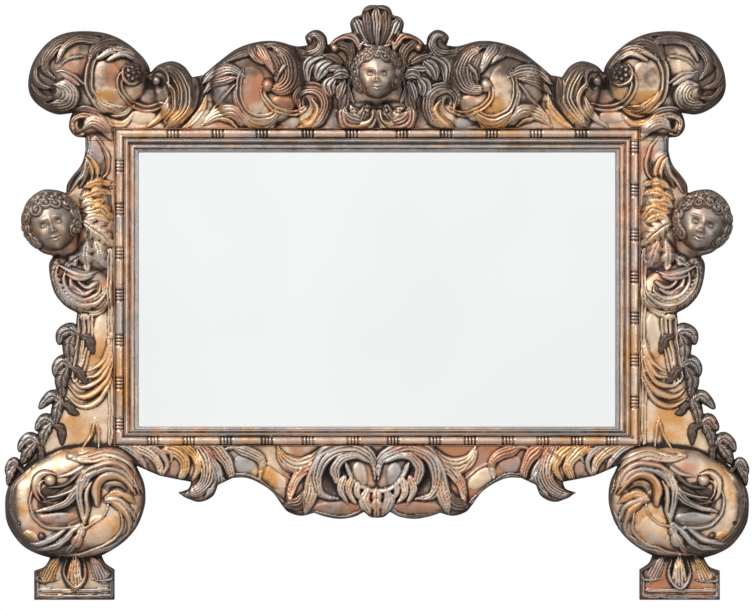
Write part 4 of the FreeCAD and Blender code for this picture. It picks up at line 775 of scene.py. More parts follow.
SIDE: list[Stroke | Mound] = [
    plain(96, 152, 9, 15, 1.4, 0, STEEL),
    rail(4, 2.0, [(88, 137), (88, 148), (86, 158)], STEEL),
    strand(5, 3.0, [(95, 136), (103, 146), (108, 160), (107, 172), (101, 180)], tone=COPPER),
    strand(6, 3.5, [(87, 155), (94, 161), (98, 170), (97, 181)], tone=GOLD),
    tail(6, 3.5, [(86, 158), (92, 168), (92, 178), (88, 188)], GOLD),
    tail(8, 3.0, [(84, 154), (80, 168), (72, 178), (67, 194)], BROWN),
    tail(7, 3.5, [(87, 160), (84, 172), (77, 182), (70, 193)], STEEL),
    tail(7, 3.5, [(89, 168), (85, 178), (80, 188)], BROWN),
    plain(96, 205, 16, 30, 0.8, 0, BROWN),
    plain(94, 254, 16, 20, 0.8, 0, BROWN),
    leaf(12, 4.0, 3, [(84, 188), (94, 183), (104, 183), (112, 186)], GOLD),
    leaf(15, 4.0, 3, [(80, 200), (90, 195), (101, 191), (111, 194)], GOLD),
    leaf(13, 4.0, 2, [(80, 208), (88, 203), (97, 203), (106, 200)], SAND),
    leaf(18, 4.5, 4, [(82, 212), (92, 211), (102, 209), (114, 219)], GOLD),
    leaf(12, 4.0, 2, [(82, 222), (92, 217), (102, 218), (110, 222)], GOLD),
    leaf(25, 5.5, 5, [(82, 222), (91, 227), (101, 234), (113, 246)], SAND),
    leaf(18, 4.5, 3, [(96, 240), (99, 250), (101, 258), (107, 268)], PALE),
    leaf(18, 5.0, 3, [(88, 240), (86, 252), (86, 262), (88, 273)], PALE),
    leaf(14, 4.5, 3, [(86, 252), (76, 258), (69, 263), (64, 268)], STEEL),
    rail(5, 2.5, [(110, 250), (110, 290), (110, 340), (110, 400), (110, 444)], SAND),
    # swirl wing: a broad fringe of short feathers outside, smooth bands within
    plain(88, 284, 18, 12, -1.0, 0, STEEL),
    flutes(9, 3.0, 2, [(58, 257), (52, 272), (54, 290), (66, 306), (84, 314), (101, 311),
                       (110, 298)], tone=BROWN),
    leaf(21, 5.0, 15, [(58, 258), (55, 276), (62, 294), (77, 304), (94, 302), (107, 290)], PALE),
    strand(6, 5.0, [(60, 262), (57, 276), (62, 291), (75, 303), (92, 305), (104, 297),
                    (108, 288)], tone=PALE),
    strand(6, 4.5, [(66, 270), (65, 283), (73, 295), (87, 299), (98, 293), (101, 285)], tone=STEEL),
    strand(7, 4.5, [(70, 276), (74, 288), (85, 293), (95, 288)], tone=PALE),
    plain(76, 291, 7, 3, -2.5, -34, BROWN),
    tail(5, 4.0, [(98, 282), (88, 287), (80, 283), (75, 276)], PALE),
    strand(8, 5.0, [(58, 264), (70, 270), (84, 275), (98, 271)], tone=STEEL),
    strand(6, 4.5, [(64, 273), (76, 278), (86, 278), (94, 276)], tone=BROWN),
    # fluted strip, swags and spike
    dome(84, 317, 6, 4.5, 3.0),
    rail(9, 3.0, [(81, 316), (81, 336), (78, 356), (74, 380)], COPPER),
    rail(6, 3.5, [(90, 316), (90, 336), (86, 356), (80, 380)]),
    plain(100, 336, 7, 22, 1.6, -4, STEEL),
    strand(5, 3.0, [(110, 334), (108, 350), (100, 364), (86, 372)], tone=GOLD),
    strand(5, 3.5, [(111, 346), (107, 362), (98, 374), (84, 378)], tone=GOLD),
    strand(6, 4.0, [(70, 376), (82, 386), (97, 382), (107, 370), (111, 356)], tone=PALE),
    strand(7, 4.5, [(68, 386), (80, 396), (96, 392), (107, 380), (112, 366)], tone=GOLD),
    strand(6, 4.0, [(66, 396), (80, 406), (96, 402), (106, 390), (112, 378)], tone=PALE),
    rib(5, 3.0, [(95, 417), (91, 434), (81, 450)], GOLD),
    rib(5, 3.0, [(95, 417), (98, 434), (99, 450)], GOLD),
    plain(92, 440, 4, 9, -1.2),
]

FOOT: list[Stroke | Mound] = [
    flutes(11, 2.6, 4, [(36, 463), (18, 477), (10, 494), (10, 511), (18, 530), (34, 546)], tone=BROWN),
    rib(4, 2.8, [(14, 481), (10, 496), (12, 512), (20, 527)], PALE),
    dome(20, 523, 2.0, 2.0, -2.0, 0, BROWN),
    # the band and the leaves along the bottom
    flutes(13, 3.0, 4, [(16, 527), (32, 543), (54, 551), (80, 547)], tone=BROWN),
    strand(8, 3.0, [(58, 555), (88, 553), (114, 545), (131, 531), (141, 510)], tone=PALE),
    plain(32, 535, 8, 3.5, 2.0, -28, GOLD),
    strand(7, 4.0, [(28, 543), (42, 542), (57, 535), (70, 525)], tone=STEEL),
    dome(43, 535, 3.6, 3.0, 3.0, -30, BROWN),
    strand(7, 4.5, [(36, 549), (52, 547), (66, 539), (78, 526)], tone=PALE),
    tail(6, 4.5, [(81, 523), (70, 533), (62, 541), (50, 545)], STEEL),
    plain(101, 529, 15, 14, 1.5, 30, SAND),
    leaf(12, 5.0, 3, [(84, 520), (81, 533), (76, 543), (66, 555)], PALE),
    # the hollow inside the scroll, with its leaves
    plain(58, 500, 20, 18, -2.4, 10, BROWN),
    flutes(30, 2.0, 6, [(98, 478), (80, 490), (62, 499), (42, 502)], Taper.LEAF, BROWN),
    plain(60, 517, 19, 5.5, 2.2, 2, STEEL),
    tail(7, 3.5, [(94, 466), (78, 474), (66, 484), (49, 487)], BROWN),
    tail(6, 3.5, [(84, 466), (74, 472), (60, 477)], PALE),
    tail(9, 5.0, [(97, 470), (84, 478), (72, 491), (47, 497)], STEEL),
    flutes(11, 5.0, 3, [(90, 473), (79, 490), (65, 503), (38, 511)], Taper.TAIL, PALE),
    rib(5, 4.5, [(40, 477), (34, 487), (31, 500), (34, 514), (43, 524), (57, 528), (73, 527), (88, 526),
                 (100, 520), (107, 511), (109, 502)], PALE),
    strand(8, 5.5, [(41, 501), (36, 491), (38, 479), (46, 473), (57, 475)], tone=COPPER),
    rib(3, 5.5, [(47, 479), (41, 483), (40, 492), (46, 501)], PALE),
    dome(51, 480, 6.2, 5.8, 7.0, 0, COPPER),
    # tongues and the nested hood
    flutes(10, 5.5, 2, [(85, 472), (80, 490), (81, 506), (85, 522)], Taper.TAIL, PALE),
    strand(6, 6.0, [(93, 480), (88, 492), (88, 508), (86, 520)], tone=SAND),
    flutes(16, 4.5, 3, [(68, 457), (88, 458), (108, 454), (126, 460), (138, 473), (143, 492)], tone=SAND),
    plain(72, 454, 6, 4, 4.5, 20, GOLD),
    strand(8, 5.5, [(77, 481), (90, 470), (106, 464), (121, 465), (133, 477), (140, 494)], tone=COPPER),
    strand(6, 5.5, [(88, 481), (98, 472), (112, 469), (126, 474), (136, 487)], tone=STEEL),
    plain(92, 498, 3.5, 9, -1.2, -6, BROWN),
    strand(10, 7.0, [(136, 494), (127, 481), (114, 475), (103, 478), (97, 488), (98, 504)], Taper.HORN, GOLD),
    dome(116, 488, 11, 4.8, -2.0, 0, STEEL),
    leaf(10, 5.0, 2, [(105, 498), (117, 493), (127, 496), (137, 504)], GOLD),
    tail(8, 5.0, [(107, 500), (120, 501), (130, 509), (137, 522)], STEEL),
    tail(8, 4.5, [(113, 502), (125, 511), (130, 523), (126, 537)], GOLD),
    rib(4, 4.5, [(117, 504), (122, 515), (122, 528), (113, 540), (96, 549), (72, 555)], PALE),
]

PLINTH: list[Stroke | Mound] = [
    rail(3.4, 2.2, [(36, 596), (74, 597), (112, 596)], STEEL),
    rail(3.2, 2.2, [(39, 590), (74, 590.5), (109, 590)], PALE),
    rail(3.4, 2.4, [(37, 577), (37, 596)], STEEL),
    rail(3.4, 2.4, [(111.5, 577), (111.5, 596)], STEEL),
    flutes(20, 3.0, 6, [(60, 556), (52, 566), (45, 580)], Taper.HORN, GOLD),
    flutes(20, 3.0, 6, [(90, 556), (97, 566), (104, 580)], Taper.HORN, STEEL),
    strand(4, 3.0, [(52, 558), (45, 566), (35, 571), (36, 579), (46, 581), (58, 580)], tone=BROWN),
    strand(4, 3.0, [(98, 558), (104, 565), (113, 570), (112, 578), (102, 580), (92, 579)], tone=BROWN),
    flutes(19, 5.0, 5, [(75, 555), (75, 568), (75, 587)], Taper.HORN, GOLD),
    strand(4, 5.5, [(67, 559), (64, 573), (68, 583), (75, 588), (82, 583), (86, 573), (83, 559)], tone=BROWN),
    rib(3, 6.0, [(75, 558), (75, 570), (75, 584)], SAND),
]

APRON: list[Stroke | Mound] = [
    plain(140, 455, 12, 7, 1.0, -30, STEEL),
    flutes(13, 3.8, 4, [(122, 446), (132, 452), (141, 461), (148, 474)], Taper.TAIL, STEEL),
    flutes(15, 4.2, 4, [(136, 445), (149, 452), (158, 463), (161, 478)], Taper.TAIL, GOLD),
    flutes(8, 4.8, 2, [(152, 446), (163, 454), (167, 465), (162, 477)], Taper.TAIL, STEEL),
    plain(175, 466, 6, 11, 1.2, 0, STEEL),
    tail(7, 4.2, [(164, 449), (172, 454), (171, 463)], GOLD),
    flutes(16, 4.8, 4, [(168, 447), (180, 454), (185, 468), (179, 485)], Taper.TAIL, GOLD),
    flutes(12, 4.8, 3, [(184, 446), (195, 456), (198, 468), (192, 480)], Taper.TAIL, GOLD),
    flutes(24, 5.2, 6, [(200, 446), (208, 460), (208, 478), (198, 490), (177, 494)], Taper.TAIL, COPPER),
    flutes(10, 4.8, 3, [(207, 450), (216, 466), (218, 482), (205, 498)], tone=STEEL),
    flutes(15, 4.8, 4, [(214, 447), (224, 457), (230, 470), (233, 487)], Taper.TAIL, COPPER),
    tail(5, 4.0, [(216, 468), (222, 477), (229, 485)], STEEL),
    plain(244, 464, 11, 9, 1.2, -10, STEEL),
    strand(4, 3.5, [(218, 454), (230, 448), (246, 449), (257, 455)], tone=COPPER),
    flutes(14, 4.4, 4, [(237, 448), (253, 454), (262, 463), (260, 479)], Taper.TAIL, COPPER),
    rail(4, 2.5, [(232, 475), (248, 476), (262, 484), (275, 495), (284, 504)], STEEL),
    plain(272, 478, 16, 8, 1.2, -34, GOLD),
    rib(3, 2.0, [(258, 459), (276, 469), (294, 482)]),
    flutes(17, 4.4, 4, [(278, 446), (284, 459), (298, 466), (312, 460), (322, 449)], tone=GOLD),
    tail(5, 4.0, [(283, 460), (293, 470), (307, 467)], COPPER),
    flutes(15, 4.8, 4, [(314, 463), (301, 472), (293, 485), (288, 503)], Taper.TAIL, SAND),
    flutes(14, 5.2, 4, [(306, 489), (300, 502), (282, 506)], tone=BROWN),
    flutes(14, 5.2, 4, [(311, 476), (311, 493), (305, 514)], tone=SAND),
    strand(8, 6.0, [(347, 447), (327, 453), (315, 464), (309, 480), (304, 496)], tone=PALE),
    plain(332, 478, 9, 17, -3.0, 8, BROWN),
    flutes(17, 5.8, 4, [(375, 479), (374, 462), (362, 450), (346, 447), (329, 452), (319, 464), (316, 480),
                        (322, 494), (338, 499)], tone=PALE),
    flutes(12, 6.5, 3, [(369, 461), (356, 455), (343, 458), (335, 468), (337, 481)], Taper.HORN, PALE),
    tail(6, 5.0, [(318, 488), (326, 497), (337, 499)], COPPER),
    plain(346, 469, 4.5, 4.5, -3.5, 0, BROWN),
    plain(360, 474, 8, 13, 2.5, 8, PALE),
    strand(5, 4.2, [(346, 463), (350, 474), (358, 485), (370, 490), (377, 490)], Taper.RAIL, PALE),
    flutes(10, 5.4, 3, [(344, 477), (341, 490), (348, 504)], Taper.TAIL, SAND),
    flutes(10, 5.8, 3, [(351, 479), (349, 491), (356, 503)], Taper.TAIL, GOLD),
    flutes(8, 5.8, 2, [(358, 484), (357, 493), (363, 501)], Taper.TAIL, SAND),
    plain(337, 508, 24, 7, 1.6, 2, COPPER),
    plain(361, 506, 5, 4, 1.5, 0, STEEL),
    rail(3, 2.5, [(314, 512), (326, 515), (342, 517), (356, 514), (364, 508)], STEEL),
    flutes(12, 5.0, 3, [(369, 488), (364, 500), (371, 515)], tone=SAND),
    leaf(15, 6.0, 3, [(377, 487), (377, 498), (377, 508), (377, 519)], SAND),
]

# Where the colour of the metal leans towards one tone, over wide soft areas of the left half. The brown on
# the outer rims of the volutes, the hook, the curl, the shell and the foot is tarnish and painted shade where
# the surface turns away.
TINTS: list[tuple[Tone, float, tuple[float, float], tuple[float, float]]] = [
    (BROWN, 0.95, (36, 78), (22, 46)),
    (BROWN, 0.9, (84, 36), (58, 15)),
    (BROWN, 0.9, (142, 66), (15, 26)),
    (BROWN, 0.7, (56, 108), (36, 12)),
    (COPPER, 0.5, (76, 84), (16, 22)),
    (COPPER, 0.95, (112, 84), (18, 20)),
    (GOLD, 0.9, (108, 98), (17, 8)),
    (COPPER, 0.8, (150, 98), (13, 8)),
    (STEEL, 0.6, (112, 66), (18, 7)),
    (BROWN, 0.3, (110, 76), (16, 12)),
    (SAND, 0.6, (140, 118), (30, 9)),
    (BROWN, 0.9, (170, 66), (26, 14)),
    (BROWN, 0.5, (182, 96), (14, 26)),
    (COPPER, 0.7, (162, 100), (11, 9)),
    (GOLD, 0.6, (141, 93), (10, 9)),
    (GOLD, 0.6, (209, 102), (10, 12)),
    (BROWN, 0.6, (156, 88), (14, 14)),
    (GOLD, 0.8, (182, 118), (22, 11)),
    (BROWN, 0.5, (200, 84), (9, 20)),
    (BROWN, 0.9, (232, 54), (36, 14)),
    (COPPER, 0.8, (252, 88), (16, 22)),
    (GOLD, 0.7, (272, 114), (20, 7)),
    (STEEL, 0.4, (280, 60), (22, 14)),
    (BROWN, 0.5, (250, 70), (18, 8)),
    (STEEL, 0.5, (282, 120), (18, 8)),
    (GOLD, 0.6, (262, 108), (16, 12)),
    (BROWN, 0.8, (298, 68), (16, 32)),
    (BROWN, 0.45, (222, 88), (18, 14)),
    (BROWN, 0.6, (316, 44), (16, 16)),
    (GOLD, 0.5, (304, 120), (14, 9)),
    (GOLD, 0.6, (190, 122), (16, 8)),
    (GOLD, 0.5, (108, 114), (22, 8)),
    (BROWN, 0.65, (377, 18), (30, 22)),
    (BROWN, 0.55, (336, 82), (28, 34)),
    (BROWN, 0.4, (377, 112), (18, 12)),
    (BROWN, 0.55, (52, 222), (34, 38)),
    (GOLD, 0.5, (98, 205), (16, 30)),
    (SAND, 0.5, (98, 250), (16, 20)),
    (BROWN, 0.5, (58, 280), (12, 26)),
    (PALE, 0.6, (88, 286), (26, 26)),
    (LIGHT, 0.95, (96, 350), (22, 52)),
    (LIGHT, 0.9, (86, 425), (30, 34)),
    (SAND, 0.5, (66, 452), (26, 16)),
    (GOLD, 0.35, (84, 432), (20, 18)),
    (BROWN, 0.75, (12, 508), (10, 44)),
    (COPPER, 0.5, (30, 484), (12, 14)),
    (COPPER, 0.6, (61, 468), (22, 9)),
    (GOLD, 0.5, (122, 482), (16, 12)),
    (GOLD, 0.6, (38, 474), (22, 18)),
    (GOLD, 0.5, (24, 506), (8, 18)),
    (GOLD, 0.5, (132, 506), (12, 20)),
    (BROWN, 0.4, (70, 503), (22, 14)),
    (GOLD, 0.55, (108, 516), (24, 28)),
    (BROWN, 0.45, (62, 551), (50, 9)),
    (STEEL, 0.35, (74, 586), (44, 16)),
    (SAND, 0.5, (150, 462), (26, 16)),
    (STEEL, 0.5, (200, 492), (24, 12)),
    (SAND, 0.55, (276, 474), (20, 14)),
    (GOLD, 0.5, (196, 462), (16, 12)),
    (DULL, 0.45, (340, 482), (48, 34)),
]


@dataclass
class Surface:
    """A skin over part of the front: its grid, its closed outlines and how it ends.

    Attributes:
        grid: the heights.
        outlines: closed outlines in mm. A point counts as covered when one of them holds it.
        back: the y of the rear end of its edge, in mm.
        rim: how wide the rounding at the edge is, in mm.
        fold: how far the rear end is folded in, in mm.
        stain: how wide the tarnish along the edge is, in mm.
    """

    grid: Grid
    outlines: list[Array]
    back: float = SKIRT_BACK
    rim: float = 2.4
    # stain: how wide the darkening along the edge is, in mm, as tarnish and as painted shade where the sheet
    # turns away.
    fold: float = 1.2
    stain: float = 9.0
    inside: Array = field(init=False)
    depth: Array = field(init=False)
    near: Array = field(init=False)

    def __post_init__(self) -> None:
        """Works out what is covered and how far each point lies from the edge."""
        grid = self.grid
        self.inside = np.zeros(grid.u.shape, dtype=bool)
        for outline in self.outlines:
            self.inside |= self._filled(outline)
        far = np.full(grid.u.shape, FAR_AWAY)
        self.near = np.stack([grid.u, grid.v], axis=-1)
        for outline in self.outlines:
            ends = np.roll(outline, -1, axis=0)
            middles = (outline + ends) / 2
            covered = np.zeros(len(outline), dtype=bool)
            for other in self.outlines:
                if other is not outline:
                    covered |= holds(other, middles[:, 0], middles[:, 1])
            for start, end, hidden in zip(outline, ends, covered):
                step = end - start
                length2 = float(step @ step)
                if hidden or length2 < 1e-9:
                    continue
                box = grid.window(np.stack([start, end]), EDGE_REACH)
                du, dv = grid.u[box] - start[0], grid.v[box] - start[1]
                t = clamped((du * step[0] + dv * step[1]) / length2)
                gap = np.hypot(du - t * step[0], dv - t * step[1])
                closer = gap < far[box]
                far[box][closer] = gap[closer]
                foot = start + t[..., None] * step
                self.near[box][closer] = foot[closer]
        self.depth = np.where(self.inside, far, -far)

    def _filled(self, outline: Array) -> Array:
        """Which points of the grid an outline holds, row by row."""
        across, up = self.grid.across, self.grid.up
        result = np.zeros(self.grid.u.shape, dtype=bool)
        a, b = outline, np.roll(outline, -1, axis=0)
        for row, v in enumerate(up):
            hit = (a[:, 1] > v) != (b[:, 1] > v)
            if hit.any():
                p, q = a[hit], b[hit]
                cuts = np.sort(p[:, 0] + (q[:, 0] - p[:, 0]) * (v - p[:, 1]) / (q[:, 1] - p[:, 1]))
                result[row] = np.searchsorted(cuts, across) % 2 == 1
        return result

    def mesh(self, name: str, region: Array, edge_back: float, material: Material) -> Thing:
        """One piece of the skin.

        Args:
            name: the piece's name.
            region: which cells belong to it.
            edge_back: the y at which its inner edges end, in mm.
            material: its finish.

        Returns:
            The new object.
        """
        grid = self.grid
        inside = self.inside
        corners = [(rows, columns) for rows in (slice(0, -1), slice(1, None))
                   for columns in (slice(0, -1), slice(1, None))]
        cells = np.any([inside[corner] for corner in corners], axis=0) & region
        used = np.zeros(inside.shape, dtype=bool)
        for corner in corners:
            used[corner] |= cells
        index = np.full(inside.shape, -1)
        index[used] = np.arange(int(used.sum()))
        on_edge = used & ~inside
        u = np.where(on_edge, self.near[..., 0], grid.u)[used]
        v = np.where(on_edge, self.near[..., 1], grid.v)[used]
        depth = np.clip(np.where(on_edge, 0, self.depth), 0, None)
        share = clamped(depth / self.rim)
        shoulder = arch(1 - share)
        low = min(self.rim, 2.5)
        y = (GROUND - grid.height * (0.25 + 0.75 * shoulder) + low * (1 - shoulder))[used]
        # near its edge, where it rolls over, the skin darkens: painted shade within a few mm, and tarnish
        # over the stain's width
        line = np.maximum(grid.line, 0.45 * clamped(1 - depth / 3.5))[used]
        gold, silver, tarnish = (tone[used] for tone in grid.tones)
        tarnish = np.maximum(tarnish, 0.9 * clamped(1 - depth / self.stain)[used])
        # how far a point stands above its surroundings; the shader lightens crests by it, as wear and a
        # painted highlight, and darkens hollows, as painted shade
        soft = blurred(grid.height, 1.8 / grid.cell)
        crest = np.clip((grid.height - soft) / 1.1, -1, 1)[used]
        grain = grid.grain[used]
        rows, columns = np.nonzero(cells)
        faces = np.stack([index[rows, columns], index[rows, columns + 1],
                          index[rows + 1, columns + 1], index[rows + 1, columns]], axis=1)
        points = np.stack([u, y, v], axis=1)
        extra_points, extra_faces, source = self._edge_rings(points, faces, on_edge[used], edge_back)
        points = np.vstack([points, extra_points])
        # the folded-back skirt is darker and less gold: tarnish, and painted shade on the turned edge
        layers = {
            "hollow": np.concatenate([line, np.maximum(line[source], 0.4)]),
            "ridge": np.concatenate([crest, np.zeros(len(source))]),
            "gold": np.concatenate([gold, gold[source] * 0.3]),
            "silver": np.concatenate([silver, np.maximum(silver[source], 0.3)]),
            "tarnish": np.concatenate([tarnish, np.maximum(tarnish[source], 0.9)]),
            "grain": np.concatenate([grain, grain[source]]),
        }
        return made_mesh(name, points, np.vstack([faces, extra_faces]), layers, material)

    def _edge_rings(
        self, points: Array, faces: Array, on_edge: Array, edge_back: float
    ) -> tuple[Array, Array, Array]:
        """The skirt: rings that carry the boundary of some faces back and fold it in.

        Args:
            points: the points of the skin, in mm.
            faces: its faces.
            on_edge: which points lie on the outer edge.
            edge_back: the y at which the other edges end, in mm.

        Returns:
            The new points, the new faces and the point that each new one stands behind.
        """
        sides = np.vstack([faces[:, [0, 1]], faces[:, [1, 2]], faces[:, [2, 3]], faces[:, [3, 0]]])
        key = np.sort(sides, axis=1)
        key = key[:, 0].astype(np.int64) * len(points) + key[:, 1]
        _, first, count = np.unique(key, return_index=True, return_counts=True)
        border = sides[first[count == 1]]
        border = border[border[:, 0] != border[:, 1]]
        ring = np.unique(border)
        place = np.full(len(points), -1)
        place[ring] = np.arange(len(ring))
        direction = points[border[:, 1]][:, [0, 2]] - points[border[:, 0]][:, [0, 2]]
        inward = np.zeros((len(points), 2))
        normal = np.stack([-direction[:, 1], direction[:, 0]], axis=1)
        np.add.at(inward, border[:, 0], normal)
        np.add.at(inward, border[:, 1], normal)
        inward /= np.maximum(np.hypot(inward[:, 0], inward[:, 1]), 1e-6)[:, None]
        outer = on_edge[ring]
        # each ring's share of the fold and of the way back
        rings = ((0.0, 0.35), (0.0, 0.92), (0.25, 1.0), (1.0, 1.0), (1.0, 0.4))
        base = points[ring]
        end = np.where(outer, self.back, edge_back)
        a, b = place[border[:, 1]], place[border[:, 0]]
        new_points, new_faces = [], []
        previous = ring
        for k, (fold, back) in enumerate(rings):
            moved = base.copy()
            moved[:, 1] = base[:, 1] + (end - base[:, 1]) * back
            moved[:, [0, 2]] += inward[ring] * (self.fold * fold * outer)[:, None]
            new_points.append(moved)
            current = len(points) + k * len(ring) + np.arange(len(ring))
            new_faces.append(np.stack([previous[a], previous[b], current[b], current[a]], axis=1))
            previous = current
        return np.vstack(new_points), np.vstack(new_faces), np.tile(ring, len(rings))


def made_mesh(
    name: str, points: Array, faces: Array, layers: dict[str, Array],
    material: Material, smooth: bool = True,
) -> Thing:
    """A mesh object from points in millimetres.

    Args:
        name: its name.
        points: (x, y, z) rows.
        faces: rows of point numbers.
        layers: values by attribute name, one for each point.
        material: its finish.
        smooth: whether it is shaded smooth.

    Returns:
        The object, at the origin, with its place in its mesh.
    """
    mesh = bpy.data.meshes.new(name)
    mesh.from_pydata((points * MM).tolist(), [], faces.tolist())
    for layer, values in layers.items():
        attribute = mesh.attributes.new(layer, "FLOAT", "POINT")
        attribute.data.foreach_set("value", np.asarray(values, dtype=np.float32).ravel())
    mesh.polygons.foreach_set("use_smooth", np.full(len(mesh.polygons), smooth))
    mesh.validate()
    mesh.materials.append(material)
    thing = bpy.data.objects.new(name, mesh)
    bpy.context.scene.collection.objects.link(thing)
    return thing


def whole_outline() -> Array:
    """The closed silhouette in mm: the left half, from the pendant up to the shell, and its mirror."""
    pieces = [smooth_line(plane(stretch), 2.0)[:-1] for stretch in HALF_SILHOUETTE]
    left = np.vstack([*pieces, plane([(377, 5)])])
    return np.vstack([left, left[-2:0:-1] * (-1, 1)])


def stations(*keys: float, cell: float) -> Array:
    """Positions that are about a cell apart and pass exactly through some keys."""
    runs = [
        np.linspace(a, b, max(int(round((b - a) / cell)), 1), endpoint=False) for a, b in zip(keys, keys[1:])
    ]
    return np.concatenate([*runs, keys[-1:]])


@dataclass(frozen=True)
class Bump:
    """A round or oval feature of a face: its place, widths and height as shares of the head's half height."""

    x: float
    z: float
    wide: float
    tall: float
    rise: float


# the features are a tenth larger than the table says, away from a point just below the nose
FACE_SCALE, FACE_MIDDLE = 1.1, -0.3
FACE: tuple[Bump, ...] = (
    Bump(0.0, 0.36, 0.46, 0.34, 0.05),
    Bump(0.34, -0.36, 0.20, 0.19, 0.12),
    Bump(0.27, -0.04, 0.13, 0.09, -0.10),
    Bump(0.27, -0.06, 0.085, 0.055, 0.085),
    Bump(0.27, -0.01, 0.11, 0.016, 0.045),
    Bump(0.27, 0.022, 0.11, 0.010, -0.03),
    Bump(0.27, -0.115, 0.09, 0.013, 0.03),
    Bump(0.26, -0.06, 0.026, 0.026, -0.035),
    Bump(0.27, 0.12, 0.16, 0.045, 0.045),
    Bump(0.0, -0.02, 0.07, 0.16, 0.07),
    Bump(0.0, -0.25, 0.085, 0.08, 0.20),
    Bump(0.10, -0.29, 0.05, 0.045, 0.08),
    Bump(0.045, -0.345, 0.025, 0.016, -0.05),
    Bump(0.0, -0.46, 0.12, 0.034, 0.075),
    Bump(0.0, -0.56, 0.10, 0.038, 0.085),
    Bump(0.0, -0.51, 0.15, 0.012, -0.055),
    Bump(0.17, -0.51, 0.035, 0.035, -0.03),
    Bump(0.0, -0.76, 0.17, 0.13, 0.12),
    Bump(0.24, -0.74, 0.16, 0.12, 0.03),
)

# how far back from the nose a head is made, in degrees, and how many turns a curl has
HEAD_REACH, CURL_TURNS = 128, 1.7
# the rows of curls from the brow back: tilt from the nose in degrees, how many, and their size as a share
HAIR: tuple[tuple[float, int, float], ...] = ((42, 9, 0.25), (57, 12, 0.26), (76, 14, 0.26), (97, 15, 0.25))


